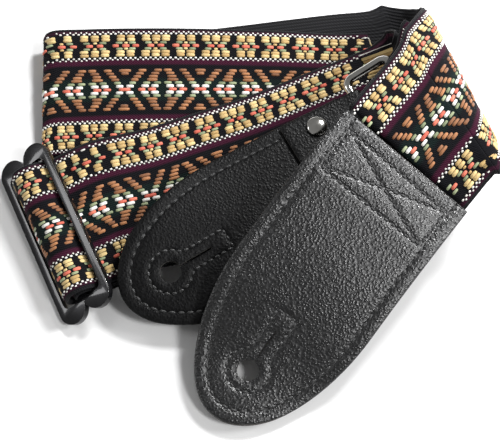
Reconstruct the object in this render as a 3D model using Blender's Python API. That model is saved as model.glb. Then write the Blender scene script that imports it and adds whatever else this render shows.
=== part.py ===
"""Guitar strap, folded as it lies: a patterned strap with a leather tab at each end.

Lengths are in metres once built; the constants below are in millimetres. +Z is up.
The strap runs in one piece from the front tab, round the outer curl, along the bottom, back over
the left fold, down under itself to the slider, back along the top, through the ring and again to
the slider, where its end is sewn round the centre bar.
"""

import math

import bmesh
import bpy
import numpy as np
from mathutils import Matrix, Vector
from mathutils.geometry import delaunay_2d_cdt

MM = 0.001
# Bottom centre of the whole object in the coordinates below; it becomes the origin.
ORIGIN = np.array([-1.425, 14.112, 0.186])

STRAP_HALF = 25.4
RIBBON_HALF = 24.2
WEBBING_LOW, WEBBING_HIGH = -0.85, 0.0
RIBBON_LOW, RIBBON_HIGH = 0.35, 0.875

# Rulings may lean this far from square before the strap is drawn narrower.
LEAST_SIN = 0.84

# Strap route: x, y, z of the centre line, then the direction of the width (degrees from +X) and
# how far its left edge is raised (degrees).
STRAP_ROUTE = [
    (51.4, 15.2, 29.9, 141.0, 17.0),
    (57.4, 22.6, 31.8, 137.0, 13.0),
    (62.4, 28.8, 32.7, 130.0, 9.0),
    (66.2, 34.2, 32.9, 121.0, 6.0),
    (69.8, 42.0, 31.0, 115.0, 3.5),
    (72.2, 49.4, 25.2, 112.0, 2.0),
    (72.6, 55.6, 16.8, 111.0, 1.0),
    (69.4, 60.8, 8.0, 110.0, 0.6),
    (62.2, 64.8, 2.8, 108.0, 0.4),
    (53.6, 67.2, 1.4, 105.0, 0.1),
    (38.0, 66.6, 1.15, 98.5, 0.0),
    (20.0, 64.2, 1.15, 95.5, 0.0),
    (0.0, 61.2, 1.15, 96.0, 0.0),
    (-40.0, 55.6, 1.15, 96.5, 0.0),
    (-64.0, 52.6, 1.3, 95.0, 0.3),
    (-71.0, 52.3, 2.4, 94.0, 1.5),
    (-73.9, 52.5, 4.9, 93.0, 3.5),
    (-71.4, 53.2, 7.3, 92.0, 5.0),
    (-60.0, 54.3, 7.2, 90.5, 5.0),
    (-30.0, 54.9, 7.6, 90.0, 3.6),
    (10.0, 55.0, 6.5, 91.0, 2.0),
    (32.0, 54.9, 5.55, 96.0, 0.2),
    (46.6, 54.8, 5.5, 102.7, 0.0),
    (48.7, 54.4, 4.4, 102.7, 0.0),
    (46.8, 54.0, 3.35, 102.7, 0.0),
    (32.0, 47.0, 3.35, 109.0, 0.0),
    (8.0, 35.0, 3.3, 114.0, 0.0),
]
SLIDER_CENTRE = (-66.0, -1.0)
SLIDER_ANGLE = 25.4
# Strap past the centre bar: distance along the slider's width from the bar, height, then lift.
OVER_BAR = [
    (50.0, 3.3, 0.6),
    (28.0, 3.1, 1.5),
    (14.0, 2.7, 1.8),
    (4.0, 2.4, 1.3),
    (-2.0, 2.8, 1.0),
    (-5.0, 4.5, 1.0),
    (-5.9, 7.6, 1.0),
    (-4.5, 10.9, 1.0),
    (-1.0, 12.3, 1.0),
    (2.6, 11.7, 1.0),
    (6.0, 9.7, 1.1),
    (8.4, 9.15, 1.4),
    (11.0, 9.2, 2.2),
    (14.0, 9.6, 3.0),
    (20.0, 9.9, 3.8),
]
TOP_ROUTE = [
    (-28.0, 13.4, 9.4, 113.4, 3.9),
    (-10.0, 20.0, 9.8, 113.8, 2.8),
    (9.5, 27.4, 10.0, 114.2, 1.6),
    (36.0, 39.8, 9.9, 115.5, 0.5),
    (48.0, 45.2, 10.2, 117.0, 0.0),
    (58.0, 48.2, 12.6, 118.0, 0.0),
    (64.0, 47.6, 16.4, 119.0, 1.0),
    (65.8, 44.2, 20.2, 120.0, 2.5),
    (65.2, 40.4, 19.4, 120.0, 4.0),
    (63.6, 37.2, 16.0, 120.0, 5.5),
    (61.0, 34.9, 15.2, 120.0, 6.0),
    (58.9, 33.4, 18.6, 120.0, 6.0),
    (60.8, 34.9, 22.1, 120.0, 6.0),
    (64.8, 39.2, 24.6, 120.0, 5.0),
    (68.0, 44.8, 25.8, 118.0, 3.5),
    (69.8, 49.6, 20.4, 115.0, 1.0),
    (68.6, 52.8, 12.8, 114.0, 0.0),
    (62.6, 52.6, 8.2, 114.5, 0.0),
    (52.0, 47.8, 7.6, 115.0, 0.0),
    (36.0, 40.4, 7.8, 115.0, 0.5),
    (9.5, 27.8, 7.9, 114.2, 1.6),
    (-10.0, 20.2, 7.5, 113.8, 2.8),
    (-28.0, 13.4, 6.9, 113.4, 3.9),
]
ROUND_BAR = [
    (24.0, 6.6, 4.1),
    (14.0, 5.4, 3.2),
    (6.0, 4.65, 1.3),
    (0.6, 4.5, 1.0),
    (-1.95, 5.2, 1.0),
    (-2.85, 7.2, 1.0),
    (-1.95, 9.2, 1.0),
    (0.5, 10.0, 1.0),
    (3.2, 9.2, 1.0),
    (6.0, 7.6, 1.2),
    (10.0, 7.1, 2.4),
    (15.0, 7.6, 3.4),
]

TAB_LENGTH = 104.0
TAB_HALF = 26.0
TIP_LENGTH = 50.0
FRONT_FACE = (1.05, 2.45)
FRONT_BACK = (-2.15, -1.05)
REAR_FACE = (0.1, 1.6)
REAR_BACK = (-1.2, -0.1)
# Tab routes start at the broad end and finish at the tip.
FRONT_TAB_ROUTE = [
    (50.8, 14.3, 29.5, 141.0, 17.0),
    (38.4, -1.0, 27.2, 141.0, 16.0),
    (26.2, -16.1, 22.6, 141.0, 14.0),
    (14.3, -30.8, 15.9, 141.0, 13.0),
    (4.4, -43.0, 9.0, 141.0, 12.0),
    (-1.6, -50.5, 5.7, 141.0, 9.0),
    (-11.8, -63.1, 3.0, 141.0, 2.0),
]
FRONT_HOLE = 18.4
REAR_TAB_ROUTE = [
    (48.0, 26.0, 14.0, 120.0, 6.0),
    (34.1, 18.0, 14.0, 120.0, 6.0),
    (18.0, 8.7, 13.9, 120.0, 6.5),
    (0.0, -1.7, 13.4, 120.0, 8.0),
    (-12.6, -9.2, 12.8, 120.0, 11.0),
    (-21.0, -14.2, 12.0, 120.0, 14.0),
    (-28.6, -18.8, 10.9, 120.0, 16.0),
    (-37.6, -24.4, 8.6, 120.0, 17.0),
]
REAR_START = 6.0
REAR_HOLE = 18.0
HOLE_RADIUS = 3.6
SLOT_LENGTH = 15.5
SLOT_HALF = 0.5
KEYHOLE_SEAM, KEYHOLE_NECK, KEYHOLE_END = 7.3, 3.6, 22.0
STITCH_INSET = 4.0
BOX_NEAR, BOX_FAR, BOX_HALF = 5.0, 20.0, 20.5
STRAP_END = 24.0
END_PLY = (-0.75, 0.75)
THREAD_RADIUS = 0.45

RING_ANGLE, RING_TILT, RING_LIFT = 30.0, 15.0, 6.0
RING_BAR = (48.0, 26.0, 14.3)
RING_LENGTH, RING_REACH, RING_WIRE = 57.0, 17.0, 1.6
RING_OFFSET = 1.5

FLAP_HALF, FLAP_THICK, FLAP_INNER = 25.0, 1.0, 1.95
FLAP_TOP, FLAP_BOTTOM = 15.85, 12.55
FLAP_UPPER_LEG, FLAP_LOWER_LEG = -29.5, -24.0
RIVET_U, RIVET_T, RIVET_HEAD, RIVET_POST = 18.0, 19.4, 3.6, 1.1

BAR_HEIGHT = 7.2
SLIDER_TILT, SLIDER_LIFT = 32.0, 1.0
SLIDER_LENGTH, SLIDER_WIDTH, SLIDER_THICK = 65.0, 21.4, 2.2
SLOT_LONG, RAIL, BAR_HALF = 53.0, 2.7, 1.2


def clear_scene():
    for item in list(bpy.data.objects):
        bpy.data.objects.remove(item, do_unlink=True)


def unit(vectors):
    return vectors / np.linalg.norm(vectors, axis=-1, keepdims=True)


def on_slider(points):
    """Stations in the slider's own directions, as route stations."""
    turn = math.radians(SLIDER_ANGLE)
    out = []
    for along, height, lift in points:
        x = SLIDER_CENTRE[0] + along * math.cos(turn)
        y = SLIDER_CENTRE[1] + along * math.sin(turn)
        lean = min(max(along, 0.0) / 30.0, 1.0)
        out.append((x, y, height, 90.0 + SLIDER_ANGLE - 2.0 * lean, lift))
    return out


class Route:
    """A band's middle surface: a centre line through hand-set stations, with a direction of width.

    Its flat coordinates are s along the band and t across it, both in millimetres.
    """

    def __init__(self, stations, step=0.25, flip=False):
        raw = np.array(stations, float)
        gaps = np.linalg.norm(np.diff(raw[:, :3], axis=0), axis=1) ** 0.5
        knots = np.concatenate([[0.0], np.cumsum(gaps)])
        before = 2 * raw[0] - raw[1]
        after = 2 * raw[-1] - raw[-2]
        table = np.vstack([before, raw, after])
        knots = np.concatenate([[-gaps[0]], knots, [knots[-1] + gaps[-1]]])
        rows = []
        for i in range(1, len(raw)):
            p0, p1, p2, p3 = table[i - 1 : i + 3]
            k0, k1, k2, k3 = knots[i - 1 : i + 3]
            m1 = (p1 - p0) / (k1 - k0) - (p2 - p0) / (k2 - k0) + (p2 - p1) / (k2 - k1)
            m2 = (p2 - p1) / (k2 - k1) - (p3 - p1) / (k3 - k1) + (p3 - p2) / (k3 - k2)
            count = max(int(np.linalg.norm(p2[:3] - p1[:3]) / step), 8)
            f = (np.arange(count) / count)[:, None]
            span = k2 - k1
            rows.append(
                (2 * f**3 - 3 * f**2 + 1) * p1
                + (f**3 - 2 * f**2 + f) * m1 * span
                + (3 * f**2 - 2 * f**3) * p2
                + (f**3 - f**2) * m2 * span
            )
        rows.append(raw[-1:])
        fine = np.vstack(rows)
        self.centre = fine[:, :3]
        az, lift = np.radians(fine[:, 3]), np.radians(fine[:, 4])
        self.width = np.stack([np.cos(az) * np.cos(lift), np.sin(az) * np.cos(lift), np.sin(lift)], 1)
        if flip:
            self.width = -self.width
        steps = np.linalg.norm(np.diff(self.centre, axis=0), axis=1)
        self.s = np.concatenate([[0.0], np.cumsum(steps)])
        self.length = float(self.s[-1])
        self.tangent = unit(np.gradient(self.centre, self.s, axis=0))
        self.up = unit(np.cross(self.tangent, self.width))
        self.cos = (self.tangent * self.width).sum(1)
        self.sin = np.sqrt(1 - self.cos**2)

    def at(self, rows, s):
        return np.stack([np.interp(s, self.s, rows[:, i]) for i in range(3)], -1)

    def ruling(self, base, t, h):
        """World points on the width line at each base distance, t across it and h off it."""
        base, t, h = np.broadcast_arrays(*(np.asarray(v, float) for v in (base, t, h)))
        over = base - np.clip(base, 0.0, self.length)
        centre = self.at(self.centre, base) + over[..., None] * unit(self.at(self.tangent, base))
        width = unit(self.at(self.width, base))
        across = t / np.maximum(np.interp(base, self.s, self.sin), LEAST_SIN)
        return centre + across[..., None] * width + h[..., None] * unit(self.at(self.up, base))

    def place(self, s, t, h):
        """World points of flat points (s, t) raised by h off the middle surface."""
        s, t, h = np.broadcast_arrays(*(np.asarray(v, float) for v in (s, t, h)))
        low, high = s - 45.0, s + 45.0
        for _ in range(26):
            middle = (low + high) / 2
            flat = middle + t * np.interp(middle, self.s, self.cos) / np.interp(middle, self.s, self.sin)
            low = np.where(flat < s, middle, low)
            high = np.where(flat < s, high, middle)
        return self.ruling((low + high) / 2, t, h)

    def stations(self, most, bend, start=0.0, end=None):
        """Distances along the band, closer together where it bends."""
        end = self.length if end is None else end
        picks = [start]
        turn = 0.0
        last = None
        for i, s in enumerate(self.s):
            if s <= start or s >= end:
                continue
            if last is not None:
                pair = (self.tangent[i] * self.tangent[last]).sum(), (self.width[i] * self.width[last]).sum()
                turn += math.acos(max(-1.0, min(1.0, pair[0]))) + math.acos(max(-1.0, min(1.0, pair[1])))
            last = i
            if s - picks[-1] >= most or turn >= bend:
                picks.append(float(s))
                turn = 0.0
        if end - picks[-1] < 0.2:
            picks[-1] = end
        else:
            picks.append(end)
        return picks


def mesh_object(name, points, faces, material):
    mesh = bpy.data.meshes.new(name)
    mesh.from_pydata([tuple(p) for p in (np.asarray(points) - ORIGIN) * MM], [], faces)
    mesh.update()
    solid = bmesh.new()
    solid.from_mesh(mesh)
    bmesh.ops.recalc_face_normals(solid, faces=solid.faces)
    if solid.calc_volume(signed=True) < 0:
        bmesh.ops.reverse_faces(solid, faces=solid.faces)
    solid.to_mesh(mesh)
    solid.free()
    mesh.materials.append(material)
    obj = bpy.data.objects.new(name, mesh)
    bpy.context.scene.collection.objects.link(obj)
    for polygon in mesh.polygons:
        polygon.use_smooth = True
    return obj


def tube_faces(rings, around):
    """Quads joining closed rings of points, with both ends capped."""
    faces = []
    for i in range(rings - 1):
        for j in range(around):
            k = (j + 1) % around
            faces.append((i * around + j, i * around + k, (i + 1) * around + k, (i + 1) * around + j))
    faces.append(tuple(range(around))[::-1])
    faces.append(tuple((rings - 1) * around + j for j in range(around)))
    return faces


def band(name, route, half, low, high, material, start=0.0, end=None, most=10.0, bend=0.12):
    """A flat band of the given half width and heights, following a route."""
    picks = route.stations(most, bend, start, end)
    corners = [(-half, low), (half, low), (half, high), (-half, high)]
    points = []
    for s in picks:
        for t, h in corners:
            points.append(route.ruling(s, t, h))
    faces = [(3, 2, 1, 0)]
    for i in range(len(picks) - 1):
        a, b, c, d = (4 * i + j for j in range(4))
        e, f, g, h = (4 * i + 4 + j for j in range(4))
        faces += [(a, b, f), (a, f, e), (d, h, g), (d, g, c), (b, c, g, f), (d, a, e, h)]
    last = 4 * (len(picks) - 1)
    faces.append((last, last + 1, last + 2, last + 3))
    return mesh_object(name, np.array(points), faces, material)


def loop_tube(name, points, radius, material, closed=False, around=6):
    """A round cord through the given points."""
    points = np.array(points, float)
    if closed:
        tangents = np.roll(points, -1, 0) - np.roll(points, 1, 0)
    else:
        tangents = np.gradient(points, axis=0)
    tangents = unit(tangents)
    normal = np.cross(tangents[0], [0.3, 0.2, 1.0])
    rings = []
    for p, tangent in zip(points, tangents):
        normal = normal - tangent * (normal @ tangent)
        normal = normal / np.linalg.norm(normal)
        side = np.cross(tangent, normal)
        for j in range(around):
            a = 2 * math.pi * j / around
            rings.append(p + radius * (math.cos(a) * normal + math.sin(a) * side))
    count = len(points)
    if not closed:
        return mesh_object(name, rings, tube_faces(count, around), material)
    faces = []
    for i in range(count):
        n = (i + 1) % count
        for j in range(around):
            k = (j + 1) % around
            faces.append((i * around + j, i * around + k, n * around + k, n * around + j))
    return mesh_object(name, rings, faces, material)


def inside(loop, points):
    """Which points lie inside a closed outline."""
    x, y = points[:, 0], points[:, 1]
    found = np.zeros(len(points), bool)
    for (x1, y1), (x2, y2) in zip(loop, np.roll(loop, -1, 0)):
        if y1 == y2:
            continue
        crosses = (y1 > y) != (y2 > y)
        found ^= crosses & (x < (x2 - x1) * (y - y1) / (y2 - y1) + x1)
    return found


def split(outline, most=6.0):
    """The closed outline with its long sides divided."""
    points = []
    for (x1, y1), (x2, y2) in zip(outline, list(outline[1:]) + [outline[0]]):
        count = max(math.ceil(math.hypot(x2 - x1, y2 - y1) / most), 1)
        points += [(x1 + (x2 - x1) * i / count, y1 + (y2 - y1) * i / count) for i in range(count)]
    return points


def plate(name, route, outer, holes, low, high, material, grid=7.0):
    """A flat plate with holes, bent to follow a route: outlines are in flat coordinates."""
    loops = [np.array(split(outer))] + [np.array(hole) for hole in holes]
    flat, edges = [], []
    for loop in loops:
        first = len(flat)
        flat += [tuple(p) for p in loop]
        edges += [(first + i, first + (i + 1) % len(loop)) for i in range(len(loop))]
    low_corner, high_corner = loops[0].min(0), loops[0].max(0)
    rows = np.arange(low_corner[0] + grid / 2, high_corner[0], grid)
    columns = np.arange(low_corner[1] + grid / 2, high_corner[1], grid)
    spots = np.array([(u, t) for u in rows for t in columns])
    keep = inside(loops[0], spots)
    for loop in loops[1:]:
        keep &= ~inside(loop, spots)
    edge_points = np.array(flat)
    gap = np.linalg.norm(spots[:, None] - edge_points[None], axis=2).min(1)
    flat += [tuple(p) for p in spots[keep & (gap > grid * 0.4)]]
    result = delaunay_2d_cdt([Vector(p) for p in flat], edges, [], 0, 1e-5)
    points = np.array([tuple(p) for p in result[0]])
    triangles = []
    for face in result[2]:
        middle = points[list(face)].mean(0)[None]
        if inside(loops[0], middle)[0] and not any(inside(loop, middle)[0] for loop in loops[1:]):
            triangles.append(tuple(face))
    count = len(points)
    faces = [t for t in triangles] + [tuple(i + count for i in t[::-1]) for t in triangles]
    used = {}
    for a, b, c in triangles:
        for pair in ((a, b), (b, c), (c, a)):
            used[pair] = True
    for a, b in used:
        if (b, a) not in used:
            faces.append((b, a, a + count, b + count))
    lower = route.place(points[:, 0], points[:, 1], low)
    upper = route.place(points[:, 0], points[:, 1], high)
    return mesh_object(name, np.vstack([upper, lower]), faces, material)


def tab_outline(inset=0.0, length=TAB_LENGTH, segments=28):
    """Straight sides and a tip that is half an ellipse; u runs from the broad end."""
    half, tip = TAB_HALF - inset, TIP_LENGTH - inset
    shoulder = length - TIP_LENGTH
    points = []
    for i in range(segments + 1):
        a = math.pi / 2 - math.pi * i / segments
        points.append((shoulder + tip * math.cos(a), half * math.sin(a)))
    return points


def closed_outline(start):
    """The tab from a straight broad end to the tip."""
    return [(start, TAB_HALF)] + tab_outline() + [(start, -TAB_HALF)]


def keyhole(centre, radius=HOLE_RADIUS, slot=SLOT_LENGTH, slot_half=SLOT_HALF, segments=20):
    """A round hole with a slot toward the broad end."""
    opening = math.asin(slot_half / radius)
    points = []
    for i in range(segments + 1):
        a = math.pi - opening - (2 * math.pi - 2 * opening) * i / segments
        points.append((centre + radius * math.cos(a), radius * math.sin(a)))
    points.append((centre - slot, -slot_half))
    points.append((centre - slot, slot_half))
    return points


def circle(centre_u, centre_t, radius, segments=12):
    return [
        (centre_u + radius * math.cos(2 * math.pi * i / segments),
         centre_t + radius * math.sin(2 * math.pi * i / segments))
        for i in range(segments)
    ]


def material(name, colour, roughness, metal=0.0):
    made = bpy.data.materials.new(name)
    made.use_nodes = True
    shader = made.node_tree.nodes["Principled BSDF"]
    shader.inputs["Base Color"].default_value = (*colour, 1.0)
    shader.inputs["Roughness"].default_value = roughness
    shader.inputs["Metallic"].default_value = metal
    made.diffuse_color = (*colour, 1.0)
    return made


def set_origin(obj, point):
    """Puts the object's origin on its joint axis without moving its surface."""
    shift = Vector([float(v) * MM for v in np.asarray(point) - ORIGIN])
    obj.data.transform(Matrix.Translation(-shift))
    obj.location = shift
    return obj


def ring_directions(tilt=0.0):
    """Unit vectors across the ring, along its bars and off its plane."""
    turn, lean, lift = (math.radians(a) for a in (RING_ANGLE, tilt, RING_LIFT))
    along = np.array([-math.sin(turn) * math.cos(lift), math.cos(turn) * math.cos(lift), math.sin(lift)])
    level = np.array([math.cos(turn), math.sin(turn), 0.0])
    out = np.cross(level, along)
    across = level * math.cos(lean) + out * math.sin(lean)
    return across, along, np.cross(across, along)


def rounded_rectangle(length, reach, corner, segments=5):
    """Centre line of a wire rectangle; x across, y along."""
    points = []
    centres = [(reach / 2 - corner, length / 2 - corner), (-reach / 2 + corner, length / 2 - corner),
               (-reach / 2 + corner, -length / 2 + corner), (reach / 2 - corner, -length / 2 + corner)]
    for quarter, (cx, cy) in enumerate(centres):
        for i in range(segments + 1):
            a = math.pi / 2 * (quarter + i / segments)
            points.append((cx + corner * math.cos(a), cy + corner * math.sin(a)))
    return points


def make_ring(metal):
    across, along, _ = ring_directions(RING_TILT)
    middle = np.array(RING_BAR) + across * RING_REACH / 2 + along * RING_OFFSET
    points = [middle + across * x + along * y for x, y in rounded_rectangle(RING_LENGTH, RING_REACH, 3.0)]
    ring = loop_tube("ring", points, RING_WIRE, metal, closed=True, around=12)
    return set_origin(ring, RING_BAR)


def make_flap(leather):
    """Leather strap folded round the ring's bar; its legs lie above and below the rear tab."""
    across, along, out = ring_directions()
    bar = np.array(RING_BAR)
    outer = [(FLAP_UPPER_LEG, FLAP_TOP + FLAP_THICK), (-5.5, FLAP_TOP + FLAP_THICK)]
    inner = [(FLAP_UPPER_LEG, FLAP_TOP), (-5.5, FLAP_TOP)]
    steps = 12
    for i in range(steps + 1):
        a = math.radians(115 - 230 * i / steps)
        reach = FLAP_INNER + FLAP_THICK
        outer.append((reach * math.cos(a), bar[2] + reach * math.sin(a)))
        inner.append((FLAP_INNER * math.cos(a), bar[2] + FLAP_INNER * math.sin(a)))
    outer += [(-5.5, FLAP_BOTTOM - FLAP_THICK), (FLAP_LOWER_LEG, FLAP_BOTTOM - FLAP_THICK)]
    inner += [(-5.5, FLAP_BOTTOM), (FLAP_LOWER_LEG, FLAP_BOTTOM)]
    profile = outer + inner[::-1]
    points = []
    for t in (-FLAP_HALF, FLAP_HALF):
        for x, z in profile:
            points.append(bar + across * x + along * t + out * (z - bar[2]))
    count = len(profile)
    faces = []
    for i in range(len(outer) - 1):
        a, b = i, i + 1
        c, d = count - 2 - i, count - 1 - i
        faces.append((a, b, c, d))
        faces.append((d + count, c + count, b + count, a + count))
    for i in range(count):
        n = (i + 1) % count
        faces.append((i, n, n + count, i + count))
    flap = mesh_object("ring_flap", points, faces, leather)
    cutters = []
    for side in (1, -1):
        middle = bar - across * RIVET_U + along * side * RIVET_T
        cutters.append(rivet_post("post_cutter", middle - out * 9, middle + out * 9, out, RIVET_POST + 0.2, leather))
    return cut(flap, cutters)


def slider_outline(length, width):
    """Outline with two rounded lobes and a notch at each end; x across, y along."""
    lobe = width / 4
    points = []
    for end in (1, -1):
        for side in (1, -1):
            middle = (end * side * lobe, end * (length / 2 - lobe))
            for i in range(9):
                a = math.radians(-8 + 196 * i / 8) + (0 if end == 1 else math.pi)
                points.append((middle[0] + lobe * math.cos(a), middle[1] + lobe * math.sin(a)))
    return points


def slider_place(points):
    """Points in the slider's frame (x across, y along the bar, z off its plane) in the world."""
    turn, lean, lift = (math.radians(a) for a in (SLIDER_ANGLE, SLIDER_TILT, SLIDER_LIFT))
    e = np.array([math.cos(turn), math.sin(turn), 0.0])
    w = np.array([-math.sin(turn) * math.cos(lift), math.cos(turn) * math.cos(lift), math.sin(lift)])
    up = np.cross(e, w)
    across = e * math.cos(lean) + up * math.sin(lean)
    out = np.cross(across, w)
    centre = np.array([*SLIDER_CENTRE, BAR_HEIGHT])
    return [centre + across * x + w * y + out * z for x, y, z in points]


def bevelled_loops(outline, thick, bevel):
    """Outline at four levels: inset top, full top, full bottom, inset bottom."""
    points = np.array(outline)
    middle_edges = np.roll(points, -1, 0) - np.roll(points, 1, 0)
    normals = np.stack([middle_edges[:, 1], -middle_edges[:, 0]], 1)
    normals /= np.linalg.norm(normals, axis=1, keepdims=True)
    half = thick / 2
    levels = [(-bevel, half), (0.0, half - bevel), (0.0, -half + bevel), (-bevel, -half)]
    return [[(p[0] + n[0] * out, p[1] + n[1] * out, z) for p, n in zip(points, normals)] for out, z in levels]


def prism(outline, thick, bevel):
    """Points and faces of a bevelled flat solid, used whole or as a cutter."""
    loops = bevelled_loops(outline, thick, bevel)
    count = len(outline)
    points = [p for loop in loops for p in loop]
    faces = [tuple(range(count))]
    for level in range(3):
        for i in range(count):
            n = (i + 1) % count
            faces.append((level * count + i, level * count + n, (level + 1) * count + n, (level + 1) * count + i))
    faces.append(tuple(3 * count + i for i in reversed(range(count))))
    return points, faces


def slot_outline(x_low, x_high, long):
    corner = 1.6
    points = []
    centres = [(x_high - corner, long / 2 - corner), (x_low + corner, long / 2 - corner),
               (x_low + corner, -long / 2 + corner), (x_high - corner, -long / 2 + corner)]
    for quarter, (cx, cy) in enumerate(centres):
        for i in range(4):
            a = math.pi / 2 * (quarter + i / 3)
            points.append((cx + corner * math.cos(a), cy + corner * math.sin(a)))
    return points


def cut(obj, cutters):
    """Cuts each cutter from the object, then removes it."""
    for cutter in cutters:
        cutter.hide_render = True
        cutter.display_type = "WIRE"
        modifier = obj.modifiers.new("cut", "BOOLEAN")
        modifier.operation = "DIFFERENCE"
        modifier.solver = "EXACT"
        modifier.object = cutter
    bpy.context.view_layer.update()
    graph = bpy.context.evaluated_depsgraph_get()
    mesh = bpy.data.meshes.new_from_object(obj.evaluated_get(graph))
    obj.modifiers.clear()
    obj.data = mesh
    for cutter in cutters:
        bpy.data.objects.remove(cutter, do_unlink=True)
    return obj


def make_slider(metal):
    points, faces = prism(slider_outline(SLIDER_LENGTH, SLIDER_WIDTH), SLIDER_THICK, 0.6)
    frame = mesh_object("slider_frame", slider_place(points), faces, metal)
    inner = SLIDER_WIDTH / 2 - RAIL
    cutters = []
    for low, high in ((BAR_HALF, inner), (-inner, -BAR_HALF)):
        points, faces = prism(slot_outline(low, high, SLOT_LONG), 8.0, 0.01)
        cutters.append(mesh_object("slot_cutter", slider_place(points), faces, metal))
    cut(frame, cutters)
    return set_origin(frame, (*SLIDER_CENTRE, BAR_HEIGHT))


def dome(name, centre, up, radius, height, material_, rings=4, around=14):
    """A rivet head: a low dome on a flat base."""
    up = np.array(up, float)
    side = unit(np.cross(up, [0.0, 1.0, 0.2]))
    other = np.cross(up, side)
    levels = [(radius, 0.0)]
    for i in range(rings):
        a = math.pi / 2 * i / rings
        levels.append((radius * math.cos(a), 0.25 + height * math.sin(a)))
    points = []
    for r, h in levels:
        for j in range(around):
            b = 2 * math.pi * j / around
            points.append(np.array(centre) + up * h + r * (math.cos(b) * side + math.sin(b) * other))
    faces = []
    for i in range(len(levels) - 1):
        for j in range(around):
            k = (j + 1) % around
            faces.append((i * around + j, i * around + k, (i + 1) * around + k, (i + 1) * around + j))
    points.append(np.array(centre) + up * (0.25 + height))
    last = (len(levels) - 1) * around
    for j in range(around):
        faces.append((last + j, last + (j + 1) % around, len(points) - 1))
    faces.append(tuple(reversed(range(around))))
    return mesh_object(name, points, faces, material_)


def rivet_post(name, low, high, up, radius, material_, around=10):
    """The pin that joins a rivet's two heads."""
    side = unit(np.cross(up, [0.0, 1.0, 0.2]))
    other = np.cross(up, side)
    points = []
    for foot in (low, high):
        for j in range(around):
            a = 2 * math.pi * j / around
            points.append(foot + radius * (math.cos(a) * side + math.sin(a) * other))
    return mesh_object(name, points, tube_faces(2, around), material_)


def seam(name, route, line, height, thread, closed=False, step=3.0):
    """A thread line lying on the leather; line is in flat coordinates."""
    points = []
    for (u1, t1), (u2, t2) in zip(line[:-1], line[1:]):
        count = max(int(math.hypot(u2 - u1, t2 - t1) / step), 1)
        points += [(u1 + (u2 - u1) * i / count, t1 + (t2 - t1) * i / count) for i in range(count)]
    points.append(line[-1])
    flat = np.array(points)
    placed = route.place(flat[:, 0], flat[:, 1], height)
    return loop_tube(name, placed, THREAD_RADIUS, thread, closed=closed, around=6)


def keyhole_seam(centre):
    """Seam line round the keyhole: most of a circle and a squared neck."""
    opening = math.asin(KEYHOLE_NECK / KEYHOLE_SEAM)
    points = [(centre - KEYHOLE_END, KEYHOLE_NECK)]
    for i in range(21):
        a = math.pi - opening - (2 * math.pi - 2 * opening) * i / 20
        points.append((centre + KEYHOLE_SEAM * math.cos(a), KEYHOLE_SEAM * math.sin(a)))
    points.append((centre - KEYHOLE_END, -KEYHOLE_NECK))
    return points


def perimeter_seam(start):
    tip = tab_outline(STITCH_INSET)
    return [(start, TAB_HALF - STITCH_INSET)] + tip + [(start, STITCH_INSET - TAB_HALF)]


def box_seam():
    """Three sides of the box that holds the strap's end."""
    near, far, half = BOX_NEAR, BOX_FAR, BOX_HALF
    return [(near, half), (near, -half), (far, -half), (far, half)]


def make_front_tab(leather, suede, thread, webbing, route):
    """Face, back, seams and the strap's end between them; all turn about the broad edge of the face."""
    hole = TAB_LENGTH - FRONT_HOLE
    outline = closed_outline(0.0)
    lift = FRONT_FACE[1] + THREAD_RADIUS + 0.12
    diagonal = [(BOX_NEAR + 1.3, BOX_HALF - 2.4), (BOX_FAR - 1.3, 2.4 - BOX_HALF)]
    half = STRAP_HALF - 0.6
    end = [(0.6, half), (STRAP_END, half), (STRAP_END, -half), (0.6, -half)]
    made = [
        plate("front_tab_face", route, outline, [keyhole(hole)], *FRONT_FACE, leather),
        plate("front_tab_back", route, outline, [keyhole(hole)], *FRONT_BACK, suede),
        seam("front_edge_thread", route, perimeter_seam(1.0), lift, thread),
        seam("front_keyhole_thread", route, keyhole_seam(hole), lift, thread),
        seam("front_box_thread", route, box_seam(), lift, thread),
        seam("front_cross_thread_a", route, diagonal, lift, thread),
        plate("strap_end_in_front_tab", route, end, [], *END_PLY, webbing, grid=9.0),
    ]
    for obj in made:
        set_origin(obj, route.ruling(0.0, 0.0, FRONT_FACE[1]))


def make_rear_tab(leather, suede, thread, route):
    hole = TAB_LENGTH - REAR_HOLE
    posts = [circle(RIVET_U, side * RIVET_T, RIVET_POST + 0.2, 10) for side in (1, -1)]
    outline = closed_outline(REAR_START)
    plate("rear_tab_face", route, outline, [keyhole(hole)] + posts, *REAR_FACE, leather)
    plate("rear_tab_back", route, outline, [keyhole(hole)] + posts, *REAR_BACK, suede)
    lift = REAR_FACE[1] + THREAD_RADIUS + 0.12
    seam("rear_edge_thread", route, perimeter_seam(31.0), lift, thread)
    seam("rear_keyhole_thread", route, keyhole_seam(hole), lift, thread)


def make_rivets(nickel):
    """Two rivets through the ring flap and the rear tab: head above, post, small head below."""
    across, along, out = ring_directions()
    bar = np.array(RING_BAR)
    for side, word in ((1, "rear"), (-1, "front")):
        foot = bar - across * RIVET_U + along * side * RIVET_T
        top = foot + out * (FLAP_TOP + FLAP_THICK - bar[2] + 0.05)
        low = foot + out * (FLAP_BOTTOM - FLAP_THICK - bar[2] - 0.05)
        dome(f"rivet_head_{word}", top, out, RIVET_HEAD, 1.3, nickel)
        dome(f"rivet_back_{word}", low, -out, RIVET_HEAD - 0.8, 0.25, nickel, rings=2)
        pin_low, pin_high = low + out * 0.05, top - out * 0.05
        rivet_post(f"rivet_post_{word}", pin_low, pin_high, out, RIVET_POST, nickel)


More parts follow.
